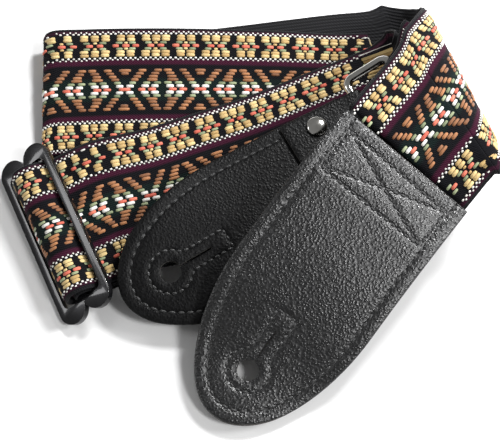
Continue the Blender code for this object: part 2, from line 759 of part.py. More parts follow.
def build():
    clear_scene()
    leather = material("black_leather", (0.018, 0.018, 0.02), 0.45)
    suede = material("black_suede", (0.03, 0.028, 0.028), 0.95)
    thread = material("black_thread", (0.02, 0.02, 0.022), 0.6)
    woven = material("jacquard_ribbon", (0.42, 0.24, 0.10), 0.85)
    ribbed = material("black_webbing", (0.015, 0.015, 0.017), 0.8)
    nickel = material("polished_nickel", (0.75, 0.74, 0.72), 0.15, 1.0)
    black_metal = material("black_metal", (0.03, 0.03, 0.032), 0.25, 1.0)

    stations = STRAP_ROUTE + on_slider(OVER_BAR) + TOP_ROUTE + on_slider(ROUND_BAR)
    strap = Route(stations)
    band("webbing", strap, STRAP_HALF, WEBBING_LOW, WEBBING_HIGH, ribbed)
    band("jacquard_ribbon", strap, RIBBON_HALF, RIBBON_LOW, RIBBON_HIGH, woven)
    front = Route(FRONT_TAB_ROUTE, flip=True)
    rear = Route(REAR_TAB_ROUTE, flip=True)
    make_front_tab(leather, suede, thread, ribbed, front)
    make_rear_tab(leather, suede, thread, rear)
    make_ring(nickel)
    make_flap(leather)
    make_rivets(nickel)
    make_slider(black_metal)


build()
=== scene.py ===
"""Looks for the folded guitar strap: woven ribbon, webbing, stitched leather tabs and metal fittings.

Lengths in the constants are millimetres; meshes are in metres. +Z is up.
"""

import math

import bmesh
import bpy
import numpy as np
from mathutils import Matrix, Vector
from mathutils.geometry import delaunay_2d_cdt


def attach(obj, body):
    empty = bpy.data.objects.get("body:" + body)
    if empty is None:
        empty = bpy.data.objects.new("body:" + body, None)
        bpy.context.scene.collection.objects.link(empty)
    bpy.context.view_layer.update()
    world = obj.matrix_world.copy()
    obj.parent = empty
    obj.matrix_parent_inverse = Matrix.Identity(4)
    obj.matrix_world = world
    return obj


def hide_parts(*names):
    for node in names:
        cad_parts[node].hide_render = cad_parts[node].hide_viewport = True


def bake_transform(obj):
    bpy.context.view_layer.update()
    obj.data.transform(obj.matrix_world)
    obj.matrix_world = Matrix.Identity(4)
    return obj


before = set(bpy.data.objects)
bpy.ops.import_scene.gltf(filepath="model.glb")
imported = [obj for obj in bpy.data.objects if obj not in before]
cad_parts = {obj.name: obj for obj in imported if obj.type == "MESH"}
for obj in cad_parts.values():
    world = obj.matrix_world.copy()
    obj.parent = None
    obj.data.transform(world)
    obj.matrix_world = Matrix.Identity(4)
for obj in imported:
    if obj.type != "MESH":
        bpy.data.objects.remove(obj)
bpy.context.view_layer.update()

MM = 0.001
# Bottom centre of the whole object in the coordinates below; it becomes the origin.
ORIGIN = np.array([-1.425, 14.112, 0.186])
RNG = np.random.default_rng(11)

STRAP_HALF, RIBBON_HALF = 25.4, 24.2
WEBBING_LOW, WEBBING_HIGH = -0.85, 0.18
RIBBON_TOP = 0.55
# Rulings may lean this far from square before the strap is drawn narrower.
LEAST_SIN = 0.84
# The first stretch of strap is made as a zone of its own.
FRONT_PLY = 24.0
# Distances along the strap for a bend; the points worked out from them are not used.
BEND_START, BEND_END = 18.0, 1.0

# Strap route: x, y, z of the centre line, then the direction of the width (degrees from +X) and
# how far its left edge is raised (degrees). The other routes marked the same way read alike.
STRAP_ROUTE = [
    (51.4, 15.2, 29.9, 141.0, 17.0),
    (57.4, 22.6, 31.8, 137.0, 13.0),
    (62.4, 28.8, 32.7, 130.0, 9.0),
    (66.2, 34.2, 32.9, 121.0, 6.0),
    (69.8, 42.0, 31.0, 115.0, 3.5),
    (72.2, 49.4, 25.2, 112.0, 2.0),
    (72.6, 55.6, 16.8, 111.0, 1.0),
    (69.4, 60.8, 8.0, 110.0, 0.6),
    (62.2, 64.8, 2.8, 108.0, 0.4),
    (53.6, 67.2, 1.4, 105.0, 0.1),
    (38.0, 66.6, 1.15, 98.5, 0.0),
    (20.0, 64.2, 1.15, 95.5, 0.0),
    (0.0, 61.2, 1.15, 96.0, 0.0),
    (-40.0, 55.6, 1.15, 96.5, 0.0),
    (-64.0, 52.6, 1.3, 95.0, 0.3),
    (-71.0, 52.3, 2.4, 94.0, 1.5),
    (-73.9, 52.5, 4.9, 93.0, 3.5),
    (-71.4, 53.2, 7.3, 92.0, 5.0),
    (-60.0, 54.3, 7.2, 90.5, 5.0),
    (-30.0, 54.9, 7.6, 90.0, 3.6),
    (10.0, 55.0, 6.5, 91.0, 2.0),
    (32.0, 54.9, 5.55, 96.0, 0.2),
    (46.6, 54.8, 5.5, 102.7, 0.0),
    (48.7, 54.4, 4.4, 102.7, 0.0),
    (46.8, 54.0, 3.35, 102.7, 0.0),
    (32.0, 47.0, 3.35, 109.0, 0.0),
    (8.0, 35.0, 3.3, 114.0, 0.0),
]
SLIDER_CENTRE = (-66.0, -1.0)
SLIDER_ANGLE = 25.4
# At the slider: distance from the bar along the strap, height, and how far the left edge is raised.
OVER_BAR = [
    (50.0, 3.3, 0.6),
    (28.0, 3.1, 1.5),
    (14.0, 2.7, 1.8),
    (4.0, 2.4, 1.3),
    (-2.0, 2.8, 1.0),
    (-5.0, 4.5, 1.0),
    (-5.9, 7.6, 1.0),
    (-4.5, 10.9, 1.0),
    (-1.0, 12.3, 1.0),
    (2.6, 11.7, 1.0),
    (6.0, 9.7, 1.1),
    (8.4, 9.15, 1.4),
    (11.0, 9.2, 2.2),
    (14.0, 9.6, 3.0),
    (20.0, 9.9, 3.8),
]
TOP_ROUTE = [
    (-28.0, 13.4, 9.4, 113.4, 3.9),
    (-10.0, 20.0, 9.8, 113.8, 2.8),
    (9.5, 27.4, 10.0, 114.2, 1.6),
    (36.0, 39.8, 9.9, 115.5, 0.5),
    (48.0, 45.2, 10.2, 117.0, 0.0),
    (58.0, 48.2, 12.6, 118.0, 0.0),
    (64.0, 47.6, 16.4, 119.0, 1.0),
    (65.8, 44.2, 20.2, 120.0, 2.5),
    (65.2, 40.4, 19.4, 120.0, 4.0),
    (63.6, 37.2, 16.0, 120.0, 5.5),
    (61.0, 34.9, 15.2, 120.0, 6.0),
    (58.9, 33.4, 18.6, 120.0, 6.0),
    (60.8, 34.9, 22.1, 120.0, 6.0),
    (64.8, 39.2, 24.6, 120.0, 5.0),
    (68.0, 44.8, 25.8, 118.0, 3.5),
    (69.8, 49.6, 20.4, 115.0, 1.0),
    (68.6, 52.8, 12.8, 114.0, 0.0),
    (62.6, 52.6, 8.2, 114.5, 0.0),
    (52.0, 47.8, 7.6, 115.0, 0.0),
    (36.0, 40.4, 7.8, 115.0, 0.5),
    (9.5, 27.8, 7.9, 114.2, 1.6),
    (-10.0, 20.2, 7.5, 113.8, 2.8),
    (-28.0, 13.4, 6.9, 113.4, 3.9),
]
ROUND_BAR = [
    (24.0, 6.6, 4.1),
    (14.0, 5.4, 3.2),
    (6.0, 4.65, 1.3),
    (0.6, 4.5, 1.0),
    (-1.95, 5.2, 1.0),
    (-2.85, 7.2, 1.0),
    (-1.95, 9.2, 1.0),
    (0.5, 10.0, 1.0),
    (3.2, 9.2, 1.0),
    (6.0, 7.6, 1.2),
    (10.0, 7.1, 2.4),
    (15.0, 7.6, 3.4),
]

TAB_LENGTH, TAB_HALF, TIP_LENGTH = 104.0, 26.0, 50.0
FRONT_TAB_ROUTE = [
    (50.8, 14.3, 29.5, 141.0, 17.0),
    (38.4, -1.0, 27.2, 141.0, 16.0),
    (26.2, -16.1, 22.6, 141.0, 14.0),
    (14.3, -30.8, 15.9, 141.0, 13.0),
    (4.4, -43.0, 9.0, 141.0, 12.0),
    (-1.6, -50.5, 5.7, 141.0, 9.0),
    (-11.8, -63.1, 3.0, 141.0, 2.0),
]
REAR_TAB_ROUTE = [
    (48.0, 26.0, 14.0, 120.0, 6.0),
    (34.1, 18.0, 14.0, 120.0, 6.0),
    (18.0, 8.7, 13.9, 120.0, 6.5),
    (0.0, -1.7, 13.4, 120.0, 8.0),
    (-12.6, -9.2, 12.8, 120.0, 11.0),
    (-21.0, -14.2, 12.0, 120.0, 14.0),
    (-28.6, -18.8, 10.9, 120.0, 16.0),
    (-37.6, -24.4, 8.6, 120.0, 17.0),
]
FRONT_HOLE, REAR_HOLE, REAR_START = 18.4, 18.0, 6.0
HOLE_RADIUS = 3.6
SLOT_LENGTH, SLOT_HALF = 15.5, 0.35
KEYHOLE_SEAM, KEYHOLE_NECK, KEYHOLE_END = 7.3, 3.6, 22.0
STITCH_INSET = 4.3
# Leather's edge falls by EDGE_ROUND over EDGE_REACH; a seam presses a groove with a low swell beside it.
EDGE_ROUND, EDGE_REACH = 0.42, 0.8
GROOVE_DEPTH, GROOVE_WIDTH, GROOVE_SWELL = 0.42, 0.55, 0.10
BOX_NEAR, BOX_FAR, BOX_HALF = 5.0, 20.0, 20.5

RING_ANGLE, RING_TILT, RING_LIFT = 30.0, 15.0, 6.0
RING_BAR = (48.0, 26.0, 14.3)
RING_LENGTH, RING_REACH, RING_WIRE = 57.0, 17.0, 1.6
RING_OFFSET = 1.5
RING_CORNER = 3.0
FLAP_HALF, FLAP_THICK, FLAP_INNER = 25.0, 1.0, 1.95
FLAP_TOP, FLAP_BOTTOM = 15.85, 12.55
FLAP_UPPER_LEG, FLAP_LOWER_LEG = -29.5, -24.0
RIVET_U, RIVET_T, RIVET_HEAD = 18.0, 19.4, 3.6

BAR_HEIGHT = 7.2
SLIDER_TILT, SLIDER_LIFT = 32.0, 1.0
SLIDER_LENGTH, SLIDER_WIDTH, SLIDER_THICK = 65.0, 21.4, 2.2
SLOT_LONG, SLOT_CORNER, RAIL, BAR_HALF = 53.0, 2.2, 2.7, 1.2
SLIDER_BEVEL = 0.62

# Weave: one column is COLUMN along the strap, one row is ROW across it.
COLUMN, ROW = 3.56, 1.27
# One motif of the centre band in each run that shows: its distance along the strap, its column
# number, the column's length there, and the ends of the stretch that it lines up.
MOTIFS = [
    (9.5, 15.0, COLUMN, (-20.0, 45.0)),
    (243.26, 90.0, 3.6, (203.26, 338.16)),
    (517.66, 172.5, COLUMN, (452.16, 900.16)),
]
# (distance, column number there): between these the pattern is counted evenly.
PHASES = [
    (distance, column + (distance - middle) / long)
    for middle, column, long, ends in MOTIFS
    for distance in ends
]

# Share of their height that floats keep within a reach of the ring wire's centre line. The negative
# share is a known fault: it turns the few floats nearest the wire inside out, under the ribbon.
PRESS_REACH, PRESS_KEEP = 5.5, 0.15
SINK_REACH, SINK_KEEP = 3.0, -0.4
# The same at the slider: its width is widened by a margin, and the reach is from its centre.
SLIDER_MARGIN, SLIDER_REACH, SLIDER_KEEP = 2.0, 40.0, 0.4
# A float on a stretched surface is shortened by at most this much.
MOST_STRETCH = 2.5


def unit(vectors):
    """Vectors scaled to length one."""
    return vectors / np.linalg.norm(vectors, axis=-1, keepdims=True)


def on_slider(points):
    """Stations in the slider's own directions, as route stations."""
    turn = math.radians(SLIDER_ANGLE)
    out = []
    for along, height, lift in points:
        x = SLIDER_CENTRE[0] + along * math.cos(turn)
        y = SLIDER_CENTRE[1] + along * math.sin(turn)
        lean = min(max(along, 0.0) / 30.0, 1.0)
        out.append((x, y, height, 90.0 + SLIDER_ANGLE - 2.0 * lean, lift))
    return out


class Route:
    """A band's middle surface: a centre line through given stations, with a direction of width.

    Its flat coordinates are s along the band and t across it, both in millimetres.
    """

    def __init__(self, stations, step=0.25, flip=False):
        raw = np.array(stations, float)
        gaps = np.linalg.norm(np.diff(raw[:, :3], axis=0), axis=1) ** 0.5
        knots = np.concatenate([[0.0], np.cumsum(gaps)])
        before = 2 * raw[0] - raw[1]
        after = 2 * raw[-1] - raw[-2]
        table = np.vstack([before, raw, after])
        knots = np.concatenate([[-gaps[0]], knots, [knots[-1] + gaps[-1]]])
        rows = []
        for i in range(1, len(raw)):
            p0, p1, p2, p3 = table[i - 1 : i + 3]
            k0, k1, k2, k3 = knots[i - 1 : i + 3]
            m1 = (p1 - p0) / (k1 - k0) - (p2 - p0) / (k2 - k0) + (p2 - p1) / (k2 - k1)
            m2 = (p2 - p1) / (k2 - k1) - (p3 - p1) / (k3 - k1) + (p3 - p2) / (k3 - k2)
            count = max(int(np.linalg.norm(p2[:3] - p1[:3]) / step), 8)
            f = (np.arange(count) / count)[:, None]
            span = k2 - k1
            rows.append(
                (2 * f**3 - 3 * f**2 + 1) * p1
                + (f**3 - 2 * f**2 + f) * m1 * span
                + (3 * f**2 - 2 * f**3) * p2
                + (f**3 - f**2) * m2 * span
            )
        rows.append(raw[-1:])
        fine = np.vstack(rows)
        self.centre = fine[:, :3]
        az, lift = np.radians(fine[:, 3]), np.radians(fine[:, 4])
        self.width = np.stack([np.cos(az) * np.cos(lift), np.sin(az) * np.cos(lift), np.sin(lift)], 1)
        if flip:
            self.width = -self.width
        steps = np.linalg.norm(np.diff(self.centre, axis=0), axis=1)
        self.s = np.concatenate([[0.0], np.cumsum(steps)])
        self.length = float(self.s[-1])
        self.tangent = unit(np.gradient(self.centre, self.s, axis=0))
        self.up = unit(np.cross(self.tangent, self.width))
        self.cos = (self.tangent * self.width).sum(1)
        self.sin = np.sqrt(1 - self.cos**2)

    def at(self, rows, s):
        """One of the route's tables, between its rows, at distances s."""
        return np.stack([np.interp(s, self.s, rows[:, i]) for i in range(3)], -1)

    def ruling(self, base, t, h):
        """World points on the width line at each base distance, t across it and h off it."""
        base, t, h = np.broadcast_arrays(*(np.asarray(v, float) for v in (base, t, h)))
        over = base - np.clip(base, 0.0, self.length)
        centre = self.at(self.centre, base) + over[..., None] * unit(self.at(self.tangent, base))
        width = unit(self.at(self.width, base))
        across = t / np.maximum(np.interp(base, self.s, self.sin), LEAST_SIN)
        return centre + across[..., None] * width + h[..., None] * unit(self.at(self.up, base))

    def place(self, s, t, h):
        """World points of flat points (s, t) raised by h off the middle surface."""
        s, t, h = np.broadcast_arrays(*(np.asarray(v, float) for v in (s, t, h)))
        low, high = s - 45.0, s + 45.0
        for _ in range(26):
            middle = (low + high) / 2
            flat = middle + t * np.interp(middle, self.s, self.cos) / np.interp(middle, self.s, self.sin)
            low = np.where(flat < s, middle, low)
            high = np.where(flat < s, high, middle)
        return self.ruling((low + high) / 2, t, h)

    def stations(self, most, bend, start=0.0, end=None):
        """Distances along the band, closer together where it bends."""
        end = self.length if end is None else end
        picks = [start]
        turn = 0.0
        last = None
        for i, s in enumerate(self.s):
            if s <= start or s >= end:
                continue
            if last is not None:
                pair = (self.tangent[i] * self.tangent[last]).sum(), (self.width[i] * self.width[last]).sum()
                turn += math.acos(max(-1.0, min(1.0, pair[0]))) + math.acos(max(-1.0, min(1.0, pair[1])))
            last = i
            if s - picks[-1] >= most or turn >= bend:
                picks.append(float(s))
                turn = 0.0
        if end - picks[-1] < 0.2:
            picks[-1] = end
        else:
            picks.append(end)
        return picks


def new_mesh(name, points, faces, materials, uv=None, slots=None, smooth=True):
    """A mesh piece from points in millimetres; uv holds one pair for each point."""
    mesh = bpy.data.meshes.new(name)
    mesh.from_pydata(((np.asarray(points) - ORIGIN) * MM).tolist(), [], faces)
    mesh.update()
    for item in materials:
        mesh.materials.append(item)
    if slots is not None:
        mesh.polygons.foreach_set("material_index", np.asarray(slots, np.int32))
    if uv is not None:
        layer = mesh.uv_layers.new(name="flat")
        index = np.empty(len(mesh.loops), np.int32)
        mesh.loops.foreach_get("vertex_index", index)
        layer.data.foreach_set("uv", np.asarray(uv, np.float32)[index].reshape(-1))
    mesh.polygons.foreach_set("use_smooth", np.full(len(mesh.polygons), smooth))
    obj = bpy.data.objects.new(name, mesh)
    bpy.context.scene.collection.objects.link(obj)
    return obj


def face_out(obj):
    """Turns the faces outwards."""
    solid = bmesh.new()
    solid.from_mesh(obj.data)
    bmesh.ops.recalc_face_normals(solid, faces=solid.faces)
    if solid.calc_volume(signed=True) < 0:
        bmesh.ops.reverse_faces(solid, faces=solid.faces)
    solid.to_mesh(obj.data)
    solid.free()
    return obj


# ---------------------------------------------------------------- strap


def rounded_profile(half, low, high, radius, across):
    """Cross-section of a flat band with rounded edges, as (t, h) pairs in order."""
    points = []
    for side, spots in ((1, np.linspace(-half + radius, half - radius, across)),
                        (-1, np.linspace(half - radius, -half + radius, across))):
        level = low if side == 1 else high
        points += [(t, level) for t in spots]
        middle = (low + high) / 2
        reach = (high - low) / 2
        for angle in (-50, 0, 50):
            t = half - radius + radius * math.cos(math.radians(angle))
            points.append((side * t, middle + reach * math.sin(math.radians(angle * side))))
    return points


def sweep(name, route, profile, start, end, material, most=2.4, bend=0.06):
    """A band that follows the route; uv is its flat coordinates in millimetres."""
    picks = np.array(route.stations(most, bend, start, end))
    section = np.array(profile)
    count = len(section)
    base = picks[:, None]
    points = route.ruling(base, section[None, :, 0], section[None, :, 1]).reshape(-1, 3)
    lean = np.interp(picks, route.s, route.cos) / np.maximum(np.interp(picks, route.s, route.sin), LEAST_SIN)
    flat = base + section[None, :, 0] * lean[:, None]
    uv = np.stack([flat, np.broadcast_to(section[None, :, 0], flat.shape)], -1).reshape(-1, 2)
    faces = [tuple(range(count))]
    for i in range(len(picks) - 1):
        for j in range(count):
            k = (j + 1) % count
            faces.append((i * count + j, i * count + k, (i + 1) * count + k, (i + 1) * count + j))
    faces.append(tuple((len(picks) - 1) * count + j for j in range(count)))
    return face_out(new_mesh(name, points, faces, [material], uv))


def column_to_s(column):
    """Distance along the strap of a column of the pattern."""
    table = np.array(PHASES)
    return np.interp(column, table[:, 1], table[:, 0])


def tan_band(group):
    """Floats of one group in the two outer bands: (colour, column, row, columns long, rows wide, height)."""
    middle = 3.0 * group
    three = group % 2
    blocks = (-1.0, 0.0, 1.0) if three else (-0.5, 0.5)
    reds = (-0.5, 0.5) if three else (-1.0, 0.0, 1.0)
    out = []
    for offset in blocks:
        for row in (11.0, 12.05, 16.0, 17.0):
            out.append(("tan", middle + offset, row, 0.9, 1.06, 0.46))
    for offset in reds:
        out.append(("coral", middle + offset, 14.0, 0.84 if offset == 0 else 0.74, 1.0, 0.42))
    for row in (13.05, 14.95):
        for side in (-0.76, 0.76):
            out.append(("sage", middle + side * (1.0 if three else 0.86), row, 0.72, 0.78, 0.3))
        out.append(("tan", middle, row, 0.42, 0.66, 0.26))
    return out


def centre_band(motif):
    """Floats of one motif in the centre band, rows 0 to 6; rows above 0 are mirrored below."""
    middle = 2.5 * motif
    kind = motif % 3
    toward = {0: 0.0, 1: -1.0, 2: 1.0}[kind]
    out = [("white", middle + side * 0.5, 1.0, 0.82, 1.0, 0.5) for side in (-1, 1)]
    if kind == 0:
        out.append(("coral", middle, 0.0, 1.24, 0.98, 0.42))
        out += [("sage", middle + side * 0.74, 2.05, 0.72, 0.85, 0.32) for side in (-1, 1)]
        for row, reach in ((3, 0.97), (4, 1.22), (5, 1.47), (6, 1.73)):
            out += [("brown", middle + side * reach, row + 0.05, 0.82, 0.92, 0.36) for side in (-1, 1)]
        out.append(("brown", middle, 6.05, 1.25, 0.92, 0.36))
        out.append(("brown", middle, 5.05, 0.85, 0.92, 0.36))
    else:
        out.append(("coral", middle + toward * 0.80, 0.0, 0.84, 0.95, 0.4))
        out.append(("coral", middle - toward * 0.22, 0.0, 0.84, 0.95, 0.42))
        out.append(("sage", middle + toward * 0.34, 2.05, 0.78, 0.85, 0.32))
        out.append(("sage", middle - toward * 0.72, 2.05, 0.8, 0.85, 0.32))
    if kind == 1:
        for row, reach, long in ((3, 1.03, 1.15), (4, 0.94, 0.95), (5, 0.74, 0.9), (6, 0.5, 0.86)):
            out += [("brown", middle + 1.25 + side * reach, row + 0.05, long, 0.92, 0.36) for side in (-1, 1)]
    return out


def all_floats(length):
    """Every float of the strap by colour, as rows of (s, t, length, width, height)."""
    columns = int(np.interp(length, *np.array(PHASES).T))
    found = {}

    def add(colour, column, row, long, wide, high):
        s = float(column_to_s(column))
        if long * COLUMN / 2 - 0.4 < s < length - long * COLUMN / 2:
            found.setdefault(colour, []).append((s, row * ROW, long * COLUMN, wide * ROW, high))

    first = int(PHASES[0][1]) - 3
    for group in range(first // 3, columns // 3 + 1):
        for colour, column, row, long, wide, high in tan_band(group):
            for side in (-1, 1):
                add(colour, column, side * row, long, wide, high)
    for motif in range(int(first / 2.5) - 1, int(columns / 2.5) + 1):
        for colour, column, row, long, wide, high in centre_band(motif):
            for side in (-1, 1) if row else (1,):
                add(colour, column, side * row, long, wide, high)
    for half in range(2 * first, 2 * columns):
        for side in (-1, 1):
            for row, fine in ((10.05, -0.55), (17.9, 0.55)):
                add("white", half / 2, side * row, 0.26, 0.56, 0.3)
                add("white", half / 2 + 0.25, side * (row + fine), 0.2, 0.44, 0.22)
    return found


def pressed(points):
    """Share of its height that each float keeps, by its place beside the ring or the slider."""
    keep = np.ones(len(points))
    across, along, out = ring_directions(RING_TILT)
    away = points - (np.array(RING_BAR) + across * RING_REACH / 2 + along * RING_OFFSET)
    past = np.abs(np.stack([away @ across, away @ along], -1)) - (RING_REACH / 2, RING_LENGTH / 2)
    to_wire = np.linalg.norm(np.maximum(past, 0.0), axis=1) + np.abs(np.minimum(past.max(axis=1), 0.0))
    apart = np.hypot(to_wire, away @ out)
    keep[apart < PRESS_REACH] = PRESS_KEEP
    keep[apart < SINK_REACH] = SINK_KEEP
    axes = slider_place([(0.0, 0.0, 0.0), (1.0, 0.0, 0.0), (0.0, 1.0, 0.0)])
    centre, right, top = (np.array(p) for p in axes)
    away = points - centre
    near = np.abs(away @ (right - centre)) < SLIDER_WIDTH / 2 + SLIDER_MARGIN
    near &= np.abs(away @ (top - centre)) < SLIDER_LENGTH / 2
    keep[near & (np.linalg.norm(away, axis=1) < SLIDER_REACH)] = SLIDER_KEEP
    return keep


def float_pieces(name, route, rows, material):
    """Raised oblong floats: two rings and a crown each."""
    rows = np.array(rows)
    count = len(rows)
    jitter = RNG.normal(0.0, 1.0, (count, 5))
    s = rows[:, 0] + 0.05 * jitter[:, 0]
    t = rows[:, 1] + 0.03 * jitter[:, 1]
    long = rows[:, 2] * (1 + 0.035 * jitter[:, 2])
    wide = rows[:, 3] * (1 + 0.04 * jitter[:, 3])
    tall = rows[:, 4] * (1 + 0.08 * np.abs(jitter[:, 4]))
    # Where the strap bends hard, a yarn is shortened against the surface's stretch.
    ends = route.place(s[:, None] + long[:, None] * np.array([-0.5, 0.5]), t[:, None], RIBBON_TOP)
    stretch = np.linalg.norm(ends[:, 1] - ends[:, 0], axis=1) / np.maximum(long, 0.01)
    long = long / np.clip(stretch, 1.0, MOST_STRETCH)
    tall = tall * pressed(ends.mean(axis=1))
    ring = []
    for i in range(8):
        a = math.pi / 8 + math.pi / 4 * i
        c, d = math.cos(a), math.sin(a)
        ring.append((math.copysign(abs(c) ** 0.55, c) / 2, math.copysign(abs(d) ** 0.55, d) / 2))
    ring = np.array(ring)
    shape = np.concatenate([
        np.column_stack([ring * 0.98, np.full(8, -0.12)]),
        np.column_stack([ring * (0.93, 0.84), np.full(8, 0.72)]),
        [[0.0, 0.0, 1.0]],
    ])
    flat_s = s[:, None] + long[:, None] * shape[None, :, 0]
    flat_t = t[:, None] + wide[:, None] * shape[None, :, 1]
    flat_h = RIBBON_TOP + tall[:, None] * shape[None, :, 2]
    points = route.place(flat_s, flat_t, flat_h).reshape(-1, 3)
    uv = np.stack([flat_s, flat_t], -1).reshape(-1, 2)
    one = []
    for i in range(8):
        n = (i + 1) % 8
        one.append((i, n, 8 + n, 8 + i))
    faces = [tuple(17 * k + v for v in face) for k in range(count) for face in one]
    faces += [(17 * k + 8 + i, 17 * k + 8 + (i + 1) % 8, 17 * k + 16) for k in range(count) for i in range(8)]
    return new_mesh(name, points, faces, [material], uv)


# ---------------------------------------------------------------- materials


def shader(name, roughness, metal=0.0, **sockets):
    """A new material and its Principled BSDF, with constants set on the shader's own sockets."""
    made = bpy.data.materials.new(name)
    made.use_nodes = True
    bsdf = made.node_tree.nodes["Principled BSDF"]
    bsdf.inputs["Roughness"].default_value = roughness
    bsdf.inputs["Metallic"].default_value = metal
    for key, value in sockets.items():
        bsdf.inputs[key.replace("_", " ")].default_value = value
    return made, bsdf, made.node_tree


def node(tree, kind, **values):
    """A new node; each value goes to the input of that name, or else to the setting."""
    made = tree.nodes.new(kind)
    for key, value in values.items():
        if key in made.inputs:
            made.inputs[key].default_value = value
        elif key.replace("_", " ") in made.inputs:
            made.inputs[key.replace("_", " ")].default_value = value
        else:
            setattr(made, key, value)
    return made


def texture(tree, space, kind, **values):
    """A texture node on the given coordinates."""
    made = node(tree, "ShaderNodeTex" + kind, **values)
    tree.links.new(space, made.inputs["Vector"])
    return made


def object_space(tree):
    """Object coordinates, in metres."""
    return tree.nodes.new("ShaderNodeTexCoord").outputs["Object"]


def ramp(tree, factor, stops):
    """The factor turned into a colour."""
    made = tree.nodes.new("ShaderNodeValToRGB")
    elements = made.color_ramp.elements
    while len(elements) < len(stops):
        elements.new(0.5)
    for element, (place, colour) in zip(elements, stops):
        element.position = place
        element.color = (*colour, 1.0)
    tree.links.new(factor, made.inputs["Fac"])
    return made.outputs["Color"]


def paint(tree, bsdf, factor, stops):
    """The base colour, ramped from the factor."""
    tree.links.new(ramp(tree, factor, stops), bsdf.inputs["Base Color"])


def maths(tree, operation, a, b=None, c=None):
    """A maths node on numbers or sockets."""
    made = tree.nodes.new("ShaderNodeMath")
    made.operation = operation
    for i, value in enumerate((a, b, c)):
        if value is None:
            continue
        if isinstance(value, (int, float)):
            made.inputs[i].default_value = value
        else:
            tree.links.new(value, made.inputs[i])
    return made.outputs[0]


def bump(tree, bsdf, height, distance, strength):
    """Relief on the shader from a height."""
    made = tree.nodes.new("ShaderNodeBump")
    made.inputs["Distance"].default_value = distance
    made.inputs["Strength"].default_value = strength
    tree.links.new(height, made.inputs["Height"])
    tree.links.new(made.outputs["Normal"], bsdf.inputs["Normal"])


def srgb(r, g, b):
    """Linear colour from 0-255 values."""
    out = []
    for v in (r, g, b):
        v /= 255.0
        out.append(v / 12.92 if v <= 0.04045 else ((v + 0.055) / 1.055) ** 2.4)
    return tuple(out)


def flat_axes(tree):
    """Flat coordinates of the strap in millimetres: along, across."""
    uv = tree.nodes.new("ShaderNodeUVMap")
    uv.uv_map = "flat"
    split = tree.nodes.new("ShaderNodeSeparateXYZ")
    tree.links.new(uv.outputs["UV"], split.inputs[0])
    return uv.outputs["UV"], split.outputs[0], split.outputs[1]


def thread_material(name, dark, light):
    """Yarn of a raised float: tone varies between floats, with fine strands along each."""
    gloss = {"Sheen_Weight": 0.25, "Sheen_Roughness": 0.5, "Specular_IOR_Level": 0.35}
    made, bsdf, tree = shader(name, 0.62, **gloss)
    uv = flat_axes(tree)[0]
    island = tree.nodes.new("ShaderNodeNewGeometry").outputs["Random Per Island"]
    strands = texture(tree, uv, "Wave", bands_direction="Y", Scale=0.9, Distortion=1.2, Detail=2.0)
    strands.inputs["Detail Scale"].default_value = 1.5
    grain = texture(tree, uv, "Noise", Scale=1.6, Detail=4.0)
    blend = maths(tree, "MULTIPLY", island, 0.55)
    blend = maths(tree, "MULTIPLY_ADD", strands.outputs["Fac"], 0.25, blend)
    blend = maths(tree, "MULTIPLY_ADD", grain.outputs["Fac"], 0.3, blend)
    paint(tree, bsdf, blend, [(0.12, dark), (0.85, light)])
    bump(tree, bsdf, strands.outputs["Fac"], 0.00012, 0.5)
    return made


def ribbon_material():
    """Ground weave between the floats: black, with dark green and burgundy stripes and a fine twill."""
    made, bsdf, tree = shader("ribbon_ground", 0.85, Sheen_Weight=0.03, Specular_IOR_Level=0.1)
    uv, along, across = flat_axes(tree)
    place = maths(tree, "MULTIPLY", maths(tree, "ABSOLUTE", across), 1 / 25.0)
    black, green = srgb(15, 15, 19), srgb(15, 27, 26)
    wine, plum = srgb(60, 20, 40), srgb(50, 20, 36)
    stripes = ramp(tree, place, [
        (0.0, green), (0.16, green), (0.2, black), (0.385, black), (0.42, wine), (0.475, wine), (0.5, black),
        (0.905, black), (0.925, plum), (0.965, plum), (0.985, black),
    ])
    diagonal = maths(tree, "MULTIPLY_ADD", across, 7.5, maths(tree, "MULTIPLY", along, 6.0))
    twill = maths(tree, "SINE", diagonal)
    cross = maths(tree, "SINE", maths(tree, "MULTIPLY", along, 11.0))
    grain = texture(tree, uv, "Noise", Scale=2.2, Detail=5.0)
    worn = maths(tree, "MULTIPLY_ADD", grain.outputs["Fac"], 0.9, 0.5)
    shade = maths(tree, "MULTIPLY_ADD", twill, 0.16, worn)
    mix = tree.nodes.new("ShaderNodeVectorMath")
    mix.operation = "SCALE"
    tree.links.new(stripes, mix.inputs[0])
    tree.links.new(shade, mix.inputs["Scale"])
    tree.links.new(mix.outputs[0], bsdf.inputs["Base Color"])
    bump(tree, bsdf, maths(tree, "MULTIPLY_ADD", cross, 0.4, twill), 0.0001, 0.7)
    return made


def webbing_material():
    """Black ribbed webbing: ribs across, with a finer weave on them."""
    made, bsdf, tree = shader("webbing_ribs", 0.75, Sheen_Weight=0.05, Specular_IOR_Level=0.2)
    uv, along, across = flat_axes(tree)
    ribs = maths(tree, "SINE", maths(tree, "MULTIPLY", across, 4.6))
    weave = maths(tree, "SINE", maths(tree, "MULTIPLY", along, 7.0))
    both = maths(tree, "MULTIPLY_ADD", maths(tree, "MULTIPLY", ribs, weave), 0.6, ribs)
    grain = texture(tree, uv, "Noise", Scale=1.8, Detail=5.0)
    tone = maths(tree, "MULTIPLY_ADD", both, 0.14, maths(tree, "MULTIPLY", grain.outputs["Fac"], 0.6))
    paint(tree, bsdf, tone, [(0.1, srgb(7, 7, 9)), (0.6, srgb(28, 28, 32))])
    bump(tree, bsdf, both, 0.0002, 0.8)
    return made


